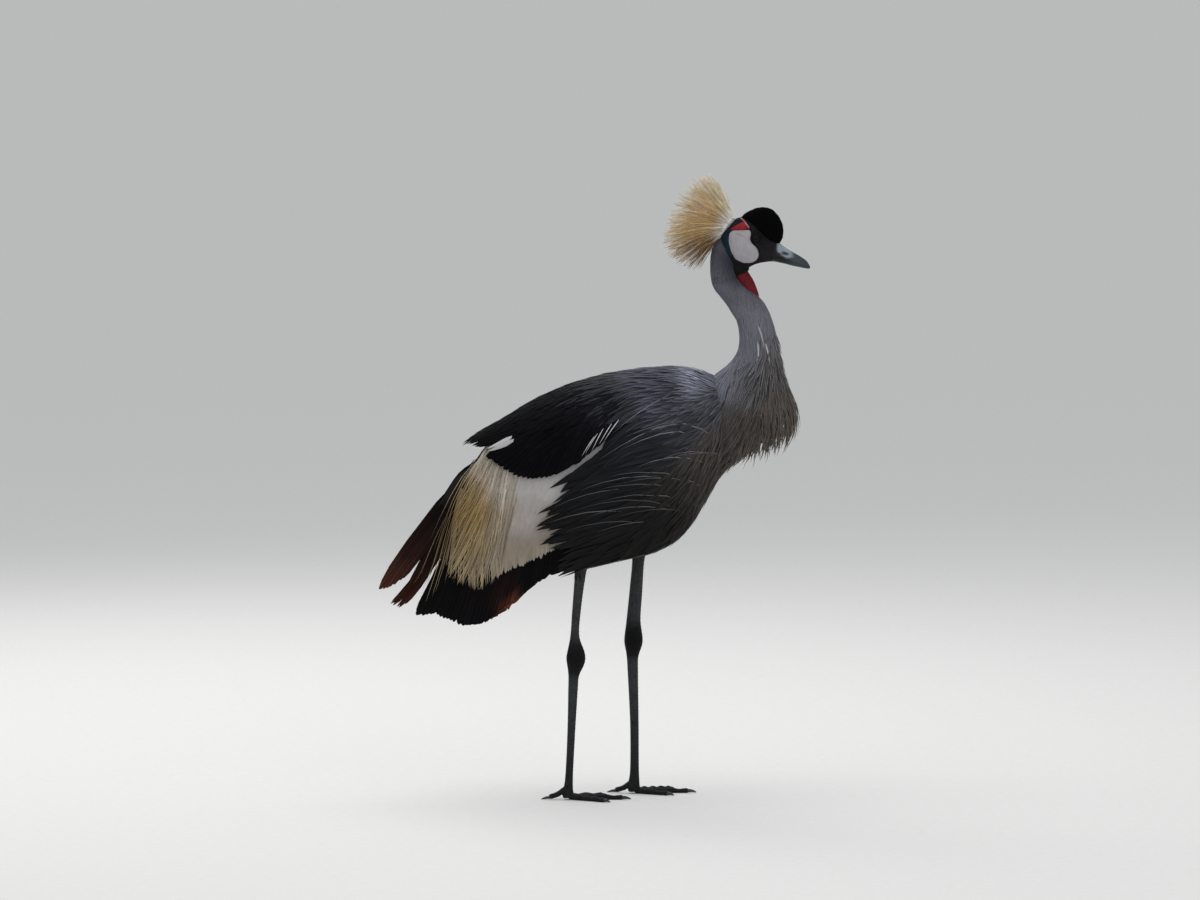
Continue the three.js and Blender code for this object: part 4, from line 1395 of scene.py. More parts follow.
@dataclass(frozen=True)
class Tract:
    """Feathers of one kind on back and sides: where their tips show and how they lie.

    Attributes:
        region: Outline of the tips in the side view, as corners x, z.
        pitch: Spacing of the tips in a and b.
        lie: How they lie.
        seed: Start of the random numbers.
        lengths: Rows of x, z and length, if it changes over the tract.
        low: Lowest a and b that tips may have.
        high: Highest a and b that tips may have.
    """

    region: Rows
    pitch: Pair
    lie: Lie
    seed: int
    lengths: tuple[Triple, ...] = ()
    low: Pair = (-215, -430)
    high: Pair = (240, 430)

    def feathers(self) -> Batch:
        """Lays the tract on both sides of the bird."""
        a, b = scatter(self.low, self.high, self.pitch, self.seed)
        x, _, z = ENVELOPE.point(a, b).T
        kept = inside(self.region, x, z)
        a, b, x, z = a[kept], b[kept], x[kept], z[kept]
        length = Field(self.lengths, 40).at(x, z)[:, 0] if self.lengths else None
        return self.lie.feathers(ENVELOPE, a, b, COAT_FLOW.at(x, z)[:, 0], self.seed + 1, length)


@dataclass(frozen=True)
class Fan:
    """A row of large feathers spread between a line of roots and a line of tips. Lengths are in mm.

    Attributes:
        count: Number of feathers.
        roots: Points x, z from rear to front.
        tips: Points x, z from rear to front.
        width: Half width.
        lift: Height over the surface of the rearmost tip, and of the foremost.
        roll: Height of one edge over the middle line.
        bow: Sideways bend as a share of the length.
        uneven: Random shift of the tips.
        sink: How much deeper the roots lie than the tips.
    """

    count: int
    roots: Rows
    tips: Rows
    width: float
    lift: Pair
    roll: float = -1.2
    bow: float = 0.04
    uneven: float = 0.8
    sink: float = 3.0

    def feathers(self, side: int, seed: int) -> Batch:
        """Lays the fan on one wing.

        Args:
            side: 1 for the left wing, -1 for the right one.
            seed: Start of the random numbers.

        Returns:
            The feathers.
        """
        rng = np.random.default_rng(seed)
        root = smooth_rows(self.roots, self.count - 1)
        tip = smooth_rows(self.tips, self.count - 1) + rng.normal(0, self.uneven, (self.count, 2))
        start, end = (np.stack([x, side * ENVELOPE.locate(x, z)], axis=-1) for x, z in (root.T, tip.T))
        lift = np.linspace(*self.lift, self.count)
        return Batch.between(
            start, end, width=self.width * rng.uniform(0.94, 1.06, self.count), root=lift - self.sink,
            tip=lift, bow=np.full(self.count, -side * self.bow), roll=np.full(self.count, side * self.roll),
            shade=rng.uniform(0.85, 1.15, self.count),
        )


@dataclass(frozen=True)
class BodySkin:
    """One skin under all feathers, from the forehead to the rump and down the thighs.

    Attributes:
        depth: Rows of x and how deep the skin lies under the coat's surface.
    """

    depth: Rows = ((-40, 15), (20, 14), (90, 9), (226, 9))

    def shells(self, bm: BMesh) -> None:
        """Adds the overlapping shells of flesh."""
        turn = np.linspace(-1, 1, 64, endpoint=False)
        rings = []
        for x in np.linspace(-40, 226, 24):
            a = x + 0 * turn
            rings.append(lifted(ENVELOPE, a, turn * ENVELOPE.spread(a) * math.pi, -profile(self.depth)(a)))
        loft(bm, rings)
        loft(bm, Tube(TRUNK_ROWS, grow=-4, upright=True).rings(30, 40))
        loft(bm, Tube(NECK_ROWS, grow=-1.8).rings(40, 36))
        loft(bm, Tube(BIB_ROWS, grow=-8).rings(12, 36))
        around = np.arange(48) * 2 * math.pi / 48 * SKULL.radius
        loft(bm, [lifted(SKULL, x + 0 * around, around, 0 * around - 1.2) for x in np.linspace(201, 290, 34)])
        throat, _ = add_ball(bm, 32, 24)
        bmesh.ops.scale(bm, vec=(Vector(THROAT.radii) - Vector((1, 1, 1))) * MM, verts=throat)
        bmesh.ops.translate(bm, vec=Vector(THROAT.at) * MM, verts=throat)
        for leg in LEGS.values():
            loft(bm, Tube(leg.rows[:6], grow=-3).rings(20, 24))

    def build(self) -> None:
        """Makes the skin, in the coat's colours darkened as painted shade for the gaps between the feathers."""
        bm = bmesh.new()
        self.shells(bm)
        skin = object_from(bm, "body_skin", FEATHER_DOWN.build())
        fuse(skin, SKIN_VOXEL)
        x, _, z = places_of(skin.data).T
        on_neck = smooth_step(640, 690, z) * smooth_step(170, 215, x)
        on_face = smooth_step(236, 250, x) * smooth_step(850, 862, z)
        colour = mix(COAT_COLOURS.at(x, z), NECK_COLOURS.at(x, z), on_neck[:, None])
        colour = mix(colour, linear("#0d0d0f"), on_face[:, None])
        # Painted shade: the skin shows only in the gaps between the feathers, so it takes three quarters of
        # their brightness.
        paint(skin.data, colour * 0.75)
        wear(skin, "grey_feathers", "torso", "breast", "neck_upper", "neck_lower", "head")


# Outline of the flank's tips.
FLANK: Rows = (
    (33, 602), (70, 594), (135, 596), (140, 520), (150, 450), (140, 375), (41, 345), (-7, 340),
    (-52, 345), (-66, 378), (-84, 396), (-94, 420), (-97, 448), (-74, 496), (-44, 525), (-6, 552),
)


@dataclass(frozen=True)
class BodyCoat:
    """Contour feathers of back, shoulders, flanks, belly, breast, neck and vent.

    Attributes:
        mantle: Back, grey in front and black behind saddle_from, as x.
        scapulars: Broad black shoulder feathers that lie over the wings.
        lobes: The edges of the shoulders' two lobes, upper and lower.
        side: Side of the breast, under the neck.
        cover: Short feathers deep in the flank, which close it.
        flank: Long dark plumes of the flank.
        lines: Pale shafts that show on it.
        fringe: Rows of distance round the breast and height of the plumes' tips there.
        top: Greatest height of the plumes' tips.
        belts: Rows of start, end, pitch round and along the neck, length and half width.
    """

    mantle: Tract = Tract(
        ((168, 715), (160, 650), (140, 610), (120, 598), (70, 592), (15, 588), (-22, 622), (-90, 634),
         (-120, 625), (-87, 672), (41, 705), (150, 715)),
        (13, 7.5), Lie(70, 4.8, -7.5, 0.2, vary=0.1, turn=2.2, bow=0.02, shade=0.15), 11,
        ((190, 680, 34), (80, 680, 70), (-20, 660, 100), (-60, 560, 120), (60, 610, 95), (150, 620, 70)),
    )
    saddle_from: float = 20.0
    scapulars: Tract = Tract(
        ((-206, 573), (-183, 576), (-158, 578), (-126, 578), (-156, 564), (-172, 557), (-127, 526), (-79, 523),
         (-39, 542), (9, 577), (36, 602), (10, 640), (-60, 664), (-87, 672), (-180, 600)),
        (18, 10), Lie(115, 9.5, -7.5, 0.4, vary=0.08, turn=2, bow=0.02, ruffle=0.15, shade=0.1), 31,
    )
    lobes: tuple[Fan, ...] = (
        Fan(9, ((-112, 628), (-104, 592)), ((-211, 567), (-203, 571), (-184, 569)), 6, (0.7, 0.9), -0.4),
        Fan(26, ((-84, 590), (30, 632)), ((-171, 557), (-128, 526), (-84, 521), (-36, 543), (9, 578)), 13,
            (0.8, 1.0), -0.3),
    )
    side: Tract = Tract(
        ((120, 600), (136, 632), (148, 662), (152, 710), (236, 710), (238, 560), (222, 500), (190, 450),
         (150, 380), (105, 400), (120, 460), (112, 540)),
        (13, 5.5), Lie(90, 3.4, -7.5, 0.4, bow=0.05, vary=0.15, turn=3, shade=0.15, ruffle=0.9), 25,
        ((230, 670, 36), (180, 650, 60), (190, 600, 75), (120, 560, 100), (190, 480, 70), (130, 420, 85)),
    )
    cover: Tract = Tract(FLANK, (20, 12), Lie(70, 8, -9, -3.5, turn=4), 23)
    flank: Tract = Tract(
        FLANK, (20, 10.5),
        Lie(150, 7.6, -7.5, -0.3, bow=0.03, vary=0.08, turn=1.6, shade=0.1, ruffle=0.3), 21,
        ((110, 570, 120), (0, 500, 165), (0, 400, 120), (110, 430, 100)),
    )
    lines: Tract = Tract(
        ((33, 602), (112, 596), (116, 545), (70, 492), (20, 436), (-60, 418), (-96, 448), (-76, 496),
         (-48, 525), (-8, 552)),
        (62, 15), Lie(130, 0.8, -1.2, 0.9, bow=0.02, vary=0.12, turn=1.0, shade=0.25, ruffle=0.2), 27,
        ((110, 570, 115), (0, 500, 170), (0, 400, 110), (110, 430, 90)),
    )
    fringe: Rows = ((0, 573), (25, 556), (50, 539), (80, 521), (112, 501))
    top: float = 728.0
    belts: Rows = (
        (26, 95, 2.5, 3.2, 16, 1.1), (95, 175, 2.7, 4.4, 23, 1.3), (175, 240, 2.9, 6.2, 34, 1.6),
        (240, 380, 3.2, 8.5, 46, 2.2),
    )

    def build(self) -> None:
        """Makes the feathers, tract by tract."""
        back = self.mantle.feathers()
        rear = back.a < self.saddle_from
        Plumage("back_feathers", "slate_feathers", ENVELOPE, COAT_COLOURS, GREY_CONTOUR, Shape.POINTED,
                Section.VANE, 0.7, rim=2.0).build(back.only(~rear))
        Plumage("saddle_feathers", "slate_feathers", ENVELOPE, COAT_COLOURS, BLACK_QUILL, Shape.POINTED,
                Section.VANE, 0.7, rim=1.0).build(back.only(rear))
        lobes = [fan.feathers(side, 35 + side) for side in SIDES.values() for fan in self.lobes]
        Plumage("scapular_feathers", "black_feathers", ENVELOPE, SHOULDER_COLOURS, BLACK_QUILL, Shape.ROUND,
                Section.BROAD, 0.6, rim=0.3, nodes=("scapulars_right", "scapulars_left"),
                ).build(self.scapulars.feathers(), *lobes)
        Plumage("side_plumes", "slate_feathers", ENVELOPE, COAT_COLOURS, GREY_CONTOUR, Shape.SLENDER,
                Section.VANE, 0.7, rim=0.7).build(self.side.feathers())
        Plumage("flank_feathers", "slate_feathers", ENVELOPE, COAT_COLOURS, SLATE_FLANK, Shape.SLENDER,
                Section.VANE, 0.9, rim=0.5).build(self.cover.feathers(), self.flank.feathers())
        Plumage("flank_lines", "slate_feathers", ENVELOPE, LINE_COLOURS, SLATE_FLANK, Shape.SLENDER,
                thickness=0.4).build(self.lines.feathers())
        self.build_breast()
        self.build_neck()
        self.build_vent()
        self.build_keel()

    def build_breast(self) -> None:
        """Makes the long hair-like plumes that hang from the foot of the neck in a ragged fringe."""
        edge = profile(self.fringe)
        a, up = scatter((-125, 0), (125, 175), (4.4, 7), 40)
        height = edge(np.abs(a)) + np.random.default_rng(41).uniform(-8, 8, len(a)) + up
        kept = height < self.top
        a, up, height = a[kept], up[kept], height[kept]
        lie = Lie(80, 2.2, -9, 1.5, bow=0.05, turn=4.5, vary=0.15, ruffle=1.3, shade=0.16)
        down = mix(268.0, 236.0, smooth_step(10, 105, np.abs(a)))
        plumes = lie.feathers(SKIRT, a, -height, down, 42, mix(85.0, 40.0, smooth_step(0, 150, up)))
        a, up = scatter((-110, -9), (110, 60), (7, 10), 43)
        lie = Lie(75, 1.5, -6, 4.5, bow=0.09, turn=5, vary=0.15, ruffle=2.2, shade=0.2)
        down = mix(270.0, 236.0, smooth_step(10, 105, np.abs(a)))
        loose = lie.feathers(SKIRT, a, -(edge(np.abs(a)) + up), down, 44)
        Plumage("breast_plumes", "grey_feathers", SKIRT, NECK_COLOURS, GREY_CONTOUR, Shape.SLENDER, rim=0.4,
                unwrap=(-200, -800, 400)).build(plumes, loose)

    def build_keel(self) -> None:
        """Makes the feathers along the middle of breast and belly, where both sides' feathers meet."""
        end = KEEL.end()
        a, b = scatter((-26, 30), (26, end + 20), (4.5, 9), 130)
        lie = Lie(62, 3.2, -7, -0.2, bow=0.04, turn=4, ruffle=0.7, vary=0.15, shade=0.12)
        down = mix(250.0, 205.0, smooth_step(30, end, b))
        Plumage("keel_feathers", "slate_feathers", KEEL, COAT_COLOURS, GREY_CONTOUR, Shape.SLENDER,
                thickness=0.6, rim=0.4, unwrap=(-120, -60, 500)).build(lie.feathers(KEEL, a, b, down, 131))

    def build_neck(self) -> None:
        """Makes the fine short feathers of the neck, which grow longer towards its foot."""
        batches = []
        half = math.pi * NECK.radius
        for seed, (low, high, pitch_a, pitch_b, length, width) in enumerate(self.belts):
            a, b = scatter((-half, low), (half, high), (pitch_a, pitch_b), 80 + seed)
            aside = np.abs(a) / NECK.radius
            rearward = smooth_step(250, 340, b) * smooth_step(0.2, 1.4, aside) * smooth_step(2.2, 1.5, aside)
            down = 268.0 - 30.0 * rearward
            stretch = np.abs(tangent_steps(NECK, a, b, headings(down))[0][:, 1])
            lie = Lie(length, width, -1.5, 0.1, turn=2.5, ruffle=0.12, vary=0.15, shade=0.05)
            batches.append(lie.feathers(NECK, a, b, down, 90 + seed, length * np.minimum(1, 1.15 / stretch)))
        Plumage("neck_feathers", "grey_feathers", NECK, NECK_COLOURS, GREY_CONTOUR, Shape.TUFT,
                thickness=0.22, rim=0.15, unwrap=(-90, -40, 460)).build(*batches)

    def build_vent(self) -> None:
        """Makes the black feathers under the rump, between the wings."""
        a, b = scatter((-60, 150), (60, TRUNK.end() + 30), (7, 12), 120)
        feathers = Lie(62, 6, -6, 1.5, ruffle=1.2).feathers(TRUNK, a, b, 180.0, 121)
        Plumage("vent_feathers", "black_feathers", TRUNK, COAT_COLOURS, SLATE_FLANK, Shape.ROUND, Section.VANE,
                0.7, unwrap=(-120, -60, 600)).build(feathers)


# Folded wings and tail


WING_COLOURS = colour_field((
    # White field of the coverts
    (-160, 550, "#a39e9a"), (-120, 515, "#a8a5a3"), (-60, 500, "#a8a5a4"), (-20, 560, "#a9a7a7"),
    # Its creamy lower edge, and its front corner
    (-110, 450, "#9b9592"), (-80, 420, "#877d73"), (-140, 395, "#877c6c"), (30, 595, "#9d9b9c"),
    (-145, 470, "#978e80"), (-55, 440, "#857c72"), (-110, 405, "#82786b"),
))
PLUME_COLOURS = colour_field((
    # Down the tuft, most golden half-way
    (-165, 555, "#9c958c"), (-176, 528, "#958b7b"), (-190, 490, "#7d6945"), (-188, 455, "#7a6339"),
    (-188, 410, "#80704f"), (-191, 362, "#8a7c64"),
    # Towards the white coverts, cream
    (-160, 380, "#877c6c"), (-156, 430, "#897d6c"), (-150, 500, "#979086"),
    # Loose plumes behind, browner
    (-213, 464, "#7b6540"), (-226, 420, "#6c5a3e"), (-222, 370, "#85765a"), (-205, 515, "#7c6c50"),
    (-246, 440, "#4a3c2b"),
))
# White of the shoulder streaks, and the pale grey of the neck's plumes, which are painted highlights.
STREAK_COLOURS = colour_field(((0, 590, "#b5b2b2"), (-140, 570, "#a9a8a8"), (262, 740, "#8e8c93")))
# Black, but for one chestnut edge low in the middle.
BLACK_VANES = colour_field((
    (-200, 400, "#0a0a0c"), (-100, 350, "#0b0b0c"), (-230, 300, "#0b0b0c"), (-180, 300, "#0c0b0d"),
    (-128, 302, "#4a2a20"), (-150, 345, "#0a0a0c"), (-100, 345, "#0b0b0c"),
), 14)
# Black at the root and chestnut towards the tip.
CHESTNUT_VANES = colour_field((
    (-230, 500, "#0d0b0a"), (-280, 430, "#100c0b"), (-346, 345, "#35201a"), (-305, 318, "#1c100b"),
    (-300, 400, "#17100f"),
))


@dataclass(frozen=True)
class Wings:
    """Both folded wings: a dark base, white coverts, gold plumes and black and chestnut quills.

    Attributes:
        arm: Rows of x and z at the base's upper edge, then at its lower one.
        white: Outline of the white coverts' tips.
        gold: Outline of the golden plumes' tips.
        hem: Coverts along the lower edge of the white field.
        straws: Golden plumes along the lower edge, and loose ones behind it.
        chestnut: Chestnut quills, upper and lower.
        black: Black quills.
    """

    arm: Rows = (
        (60, 626, 60, 470), (0, 634, -10, 420), (-60, 616, -58, 392), (-120, 586, -98, 366),
        (-170, 555, -135, 340), (-210, 527, -168, 324), (-240, 486, -206, 322), (-262, 446, -232, 340),
    )
    white: Rows = (
        (-178, 552), (-166, 584), (-120, 588), (-79, 560), (-20, 605), (60, 645), (75, 575), (10, 490),
        (-25, 440), (-34, 414), (-58, 406), (-79, 396), (-100, 386), (-125, 374), (-160, 358), (-170, 400),
        (-172, 500),
    )
    gold: Rows = (
        (-172, 557), (-212, 505), (-226, 440), (-238, 362), (-217, 345), (-199, 340), (-185, 338),
        (-154, 356), (-152, 420), (-160, 490),
    )
    hem: Fan = Fan(
        44, ((-148, 432), (-90, 452), (-36, 462)),
        ((-164, 354), (-125, 371), (-100, 384), (-79, 393), (-58, 404), (-34, 412)),
        4.2, (-8.5, -8.3), roll=-0.1, bow=0.01, uneven=1.2,
    )
    straws: tuple[Fan, ...] = (
        Fan(46, ((-214, 500), (-164, 480)),
            ((-238, 366), (-218, 347), (-200, 340), (-185, 339), (-168, 350), (-154, 361)),
            2.0, (-6.6, -5.6), roll=0.1, bow=0.03, uneven=3.0, sink=9.0),
        Fan(9, ((-196, 540), (-176, 548)), ((-262, 404), (-246, 372), (-232, 352)),
            1.1, (-9, -7), roll=0.1, bow=0.05, uneven=5),
        Fan(6, ((-238, 452), (-212, 470)), ((-288, 332), (-268, 320), (-248, 350)),
            1.0, (-13, -9), roll=0.1, bow=0.06, uneven=5),
    )
    chestnut: tuple[Fan, ...] = (
        Fan(8, ((-208, 512), (-202, 482)), ((-345, 346), (-336, 346), (-322, 352), (-305, 363)),
            8, (-18.5, -18)),
        Fan(6, ((-226, 470), (-222, 448)), ((-328, 314), (-320, 309), (-313, 309), (-305, 315)),
            6, (-17.5, -17)),
    )
    black: Fan = Fan(
        38, ((-204, 462), (-55, 428)),
        ((-287, 295), (-262, 297), (-238, 288), (-209, 276), (-180, 275), (-149, 283), (-113, 322),
         (-78, 351), (-46, 362)),
        13, (-16.5, -12.5),
    )

    def build(self) -> None:
        """Makes both wings."""
        for name, side in SIDES.items():
            seed = 200 + side
            self.build_base(name, side)
            quills = [fan.feathers(side, seed + i) for i, fan in enumerate(self.chestnut)]
            Plumage(f"chestnut_quills_{name}", "black_feathers", ENVELOPE, CHESTNUT_VANES, BLACK_QUILL,
                    Shape.BLUNT, Section.BROAD, 0.9, rim=0.4, dip=(0.5, "#38201a"), nodes=(f"wing_{name}",),
                    ).build(*quills)
            Plumage(f"black_quills_{name}", "black_feathers", ENVELOPE, BLACK_VANES, BLACK_QUILL, Shape.BLUNT,
                    Section.BROAD, 0.9, rim=0.25).build(self.black.feathers(side, seed + 10))
            self.build_coverts(name, side, seed + 20)
            self.build_gold(name, side, seed + 30)

    def build_base(self, name: str, side: int) -> None:
        """Makes the thin dark sheet that closes the wing under its feathers; in their gaps it shows as painted
        shade.
        """
        bm = bmesh.new()
        grid = bmesh.ops.create_grid(bm, x_segments=28, y_segments=12, size=1)["verts"]
        u, v = np.array([(vert.co.x, vert.co.y) for vert in grid]).T / 2 + 0.5
        fine = smooth_rows(self.arm, 200)
        top_x, top_z, low_x, low_z = (np.interp(u, np.linspace(0, 1, 201), fine[:, i]) for i in range(4))
        x, z = mix(low_x, top_x, v), mix(low_z, top_z, v)
        put(grid, lifted(ENVELOPE, x, side * ENVELOPE.locate(x, z), 0 * x - 19.5))
        bmesh.ops.solidify(bm, geom=bm.faces[:], thickness=3 * MM)
        base = object_from(bm, f"wing_base_{name}", FEATHER_DOWN.build())
        # Near-black like the quills, and painted shade where it shows between the feathers.
        paint(base.data, linear("#09090b"))
        wear(base, "black_feathers")

    def tips(self, region: Rows, pitch: Pair, side: int, seed: int) -> tuple[Array, Array, Array, Array]:
        """Spreads tips over a region of one wing.

        Args:
            region: Outline in the side view.
            pitch: Spacing of the tips.
            side: 1 for the left wing, -1 for the right one.
            seed: Start of the random numbers.

        Returns:
            The coordinates a and b, and the places' x and z.
        """
        a, b = scatter((-360, 0), (120, 330), pitch, seed)
        x, _, z = ENVELOPE.point(a, b).T
        kept = inside(region, x, z)
        return a[kept], side * b[kept], x[kept], z[kept]

    def build_coverts(self, name: str, side: int, seed: int) -> None:
        """Makes the smooth white coverts in overlapping rows."""
        a, b, x, _ = self.tips(self.white, (10, 11), side, seed)
        down = mix(242.0, 262.0, smooth_step(-40, -160, x))
        lie = Lie(70, 10, -12.0, -8.6, turn=2, ruffle=0.12, bow=0.02, vary=0.1, shade=0.02)
        rows = lie.feathers(ENVELOPE, a, b, down, seed + 1)
        Plumage(f"white_coverts_{name}", "white_feathers", ENVELOPE, WING_COLOURS, WHITE_COVERT, Shape.ROUND,
                Section.BROAD, 0.4, rim=0.05).build(rows, self.hem.feathers(side, seed + 2))

    def build_gold(self, name: str, side: int, seed: int) -> None:
        """Makes the loose golden plumes that cascade over the black quills."""
        a, b, x, z = self.tips(self.gold, (4.2, 7.5), side, seed)
        down = mix(258.0, 240.0, smooth_step(-165, -235, x))
        length = mix(60.0, 150.0, smooth_step(540, 400, z))
        lie = Lie(100, 1.7, -9.5, -6.0, turn=2.6, bow=0.035, ruffle=0.9, vary=0.12, shade=0.25)
        plumes = lie.feathers(ENVELOPE, a, b, down, seed + 1, length)
        straws = [fan.feathers(side, seed + 2) for fan in self.straws]
        Plumage(f"golden_plumes_{name}", "crest_bristles", ENVELOPE, PLUME_COLOURS, GOLDEN_PLUME,
                Shape.SLENDER, Section.VANE, rim=0.15).build(plumes, *straws)


@dataclass(frozen=True)
class ShoulderVanes:
    """The few pale feathers that stand out on the bird's side, and pale plumes that paint highlights on the
    neck.

    Attributes:
        pale: White streaks on the shoulder, in front and behind.
        neck: Rows of x, z, direction and length of single pale plumes on the neck, painted highlights where its
            feathers part.
    """

    pale: tuple[Fan, ...] = (
        Fan(5, ((0, 586), (14, 598), (39, 612)), ((-21, 555), (-7, 566), (16, 579)),
            0.75, (2.2, 2.4), roll=0.0, bow=0.02, uneven=0.8, sink=0.4),
        Fan(2, ((-131, 582), (-128, 577)), ((-171, 562), (-169, 558)),
            4.6, (1.8, 2.0), roll=0.0, bow=-0.03, uneven=0.5, sink=0.6),
    )
    neck: Rows = ((261, 757, 290, 27), (264, 752, 288, 33), (260, 733, 277, 40), (273, 728, 283, 34))

    def build(self) -> None:
        """Makes the white streaks on the shoulders and the pale plumes on the neck, which are painted
        highlights.
        """
        streaks = [fan.feathers(side, 700 + side) for side in SIDES.values() for fan in self.pale]
        Plumage("shoulder_streaks", "white_feathers", ENVELOPE, STREAK_COLOURS, WHITE_COVERT, Shape.SLENDER,
                Section.VANE, 0.5).build(*streaks)
        # Painted highlights: pale plumes where the neck's feathers part and catch the light.
        x, z, angle, length = np.array(self.neck, float).T
        b = NECK.down_to(z)
        middle, depth = NECK.read(b, 1, 4).T
        a = np.arccos(np.clip((x - middle) / depth, -1, 1)) * NECK.radius
        lie = Lie(36, 1.5, -0.5, 1.6, turn=1, ruffle=0.2, rooted=True)
        plumes = [lie.feathers(NECK, -side * a, b, angle, 710 + side, length) for side in SIDES.values()]
        Plumage("neck_highlight_streaks", "grey_feathers", NECK, STREAK_COLOURS, GREY_CONTOUR, Shape.SLENDER,
                thickness=0.5, unwrap=(-90, -40, 460)).build(*plumes)


@dataclass(frozen=True)
class SlopingPlane:
    """Nearly flat surface of tail or rump: a runs across it, b down it.

    Attributes:
        root: Point x, z of its upper edge.
        slope: Its slope in degrees.
    """

    root: Pair = (-205, 418)
    slope: float = 56.0

    def point(self, a: Array, b: Array) -> Array:
        """Gives the place of each (a, b)."""
        turn = math.radians(self.slope)
        sag = 0.004 * a * a
        x = self.root[0] - math.cos(turn) * b + math.sin(turn) * sag
        return np.stack([x, -(a + 0 * b), self.root[1] - math.sin(turn) * b - math.cos(turn) * sag], axis=-1)


@dataclass(frozen=True)
class Tail:
    """Black tail quills in a narrow fan, mostly hidden by the wings, and the rump over them.

    Attributes:
        length: Length of the middle quills in mm.
        spread: Half width of the fan at the tips in mm.
        width: Half width of a quill in mm.
        rump: Surface of the rump.
    """

    count: int = 12
    length: float = 132
    spread: float = 24
    width: float = 8.5
    rump: SlopingPlane = SlopingPlane((-150, 586), 52.0)

    def build(self) -> None:
        """Makes tail and rump."""
        share = np.linspace(-1, 1, self.count)
        level = 4 - 4 * np.abs(share)
        quills = Batch.between(
            np.stack([share * self.spread * 0.5, np.full(self.count, -12.0)], axis=-1),
            np.stack([share * self.spread, self.length - 10 * share**2], axis=-1),
            width=np.full(self.count, self.width), root=level - 2, tip=level, bow=0 * share, roll=0 * share,
            shade=np.ones(self.count),
        )
        Plumage("tail_quills", "black_feathers", SlopingPlane(), BLACK_VANES, BLACK_QUILL, Shape.BLUNT,
                Section.BROAD, 0.9, rim=0.2, unwrap=(-60, -60, 300), nodes=("tail",)).build(quills)
        a, b = scatter((-44, 50), (44, 185), (11, 15), 140)
        lie = Lie(62, 9, -4, 0.5, turn=3, ruffle=0.5)
        Plumage("rump_feathers", "black_feathers", self.rump, BLACK_VANES, BLACK_QUILL, Shape.ROUND,
                Section.VANE, unwrap=(-80, -40, 300),
                ).build(lie.feathers(self.rump, a, b, 180.0 + self.rump.slope, 141))


# Head


CAP_COLOURS = colour_field(((270, 915, "#040405"), (290, 900, "#050506")))
FACE_COLOURS = colour_field((
    # Nape, with a blue gloss
    (207, 900, "#0e2431"), (214, 890, "#0b2534"), (216, 874, "#0b2331"), (222, 860, "#0c1013"),
    # Throat, lores and chin
    (240, 850, "#0a0a0b"), (270, 900, "#0c0b0e"), (282, 882, "#1a171d"), (262, 862, "#100e11"),
    # Crown behind the cap, then the feathering on the bill
    (218, 918, "#1c1e25"), (232, 928, "#121317"), (293, 872, "#26262c"), (275, 868, "#1c1a20"),
), 7)


@dataclass(frozen=True)
class SkinPatch:
    """A cushion of bare skin on the side of the head, thin at its edge.

    Attributes:
        name: Name of the piece.
        finish: Its finish.
        slot: Name of a slot; not used.
        outline: Corners x, z round the middle.
        middle: Point x, z that sees all corners.
        thickness: Height in mm at the middle.
        sunk: Depth of the edge under the head's surface.
        soft: Reach of the rounding of the corners.
        solid: Whether it stands for the cheek's solid.
        crease: Point x, z at which the rosy crease starts.
        fall: How far it goes forward and up.
    """

    name: str
    finish: HideFinish
    slot: str
    outline: Rows
    middle: Pair
    thickness: float
    sunk: float = 1.4
    soft: int = 8
    solid: bool = False
    crease: Pair = (226, 904.5)
    fall: Pair = (14, -5)

    def build(self, side_name: str, side: int) -> None:
        """Makes the patch on one side.

        Args:
            side_name: Side of the bird.
            side: 1 for the left, -1 for the right.
        """
        bm = bmesh.new()
        ball, unit = add_ball(bm, 72, 32)
        way = np.arctan2(unit[:, 1], unit[:, 0])
        reach = np.hypot(unit[:, 0], unit[:, 1]) * polar_edge(self.outline, self.middle, way, self.soft)
        x, z = self.middle[0] + reach * np.cos(way), self.middle[1] + reach * np.sin(way)
        ripple = 0.35 * np.sin(x * 0.9 + 0.5 * z) * np.sin(z * 0.35 - x * 0.2)
        y = SKULL.side(x, z) - self.sunk + self.thickness * unit[:, 2] + ripple * np.maximum(unit[:, 2], 0)
        put(ball, np.stack([x, side * y, z], axis=-1))
        bmesh.ops.smooth_vert(bm, verts=bm.verts, factor=0.4, use_axis_x=True, use_axis_y=True, use_axis_z=True)
        patch = object_from(bm, f"{self.name}_{side_name}", self.finish.build())
        x, _, z = places_of(patch.data).T
        along = np.clip((x - self.crease[0]) / self.fall[0], 0, 1)
        away = np.hypot(*(p - start - fall * along for p, start, fall in zip((x, z), self.crease, self.fall)))
        paint(patch.data, mix(np.ones(3), linear("#d8a4a8"), 0.55 * np.exp(-(away**2))[:, None]))
        wear(patch, self.slot, *([f"cheek_{side_name}"] if self.solid else []))


CHEEK = SkinPatch("cheek_skin", BARE_WHITE, "white_skin", (
    (215, 905), (213.9, 891), (217.9, 875), (224.8, 863), (237.6, 857), (251, 857), (260, 862),
    (262.4, 870), (260.3, 879), (256, 884.5), (250.5, 888.5), (247.5, 896), (250, 904.5), (247.5, 910.5),
    (236, 910), (222, 910),
), (234, 884), 3.4, solid=True)
RED_PATCH = SkinPatch("red_patch", BARE_RED, "red_skin", (
    (215.5, 910.5), (224, 916), (233, 921), (238, 923), (243, 918), (248, 913), (240, 911), (230, 909.5),
    (221, 909),
), (235, 914.5), 2.4, sunk=0.7, soft=3)


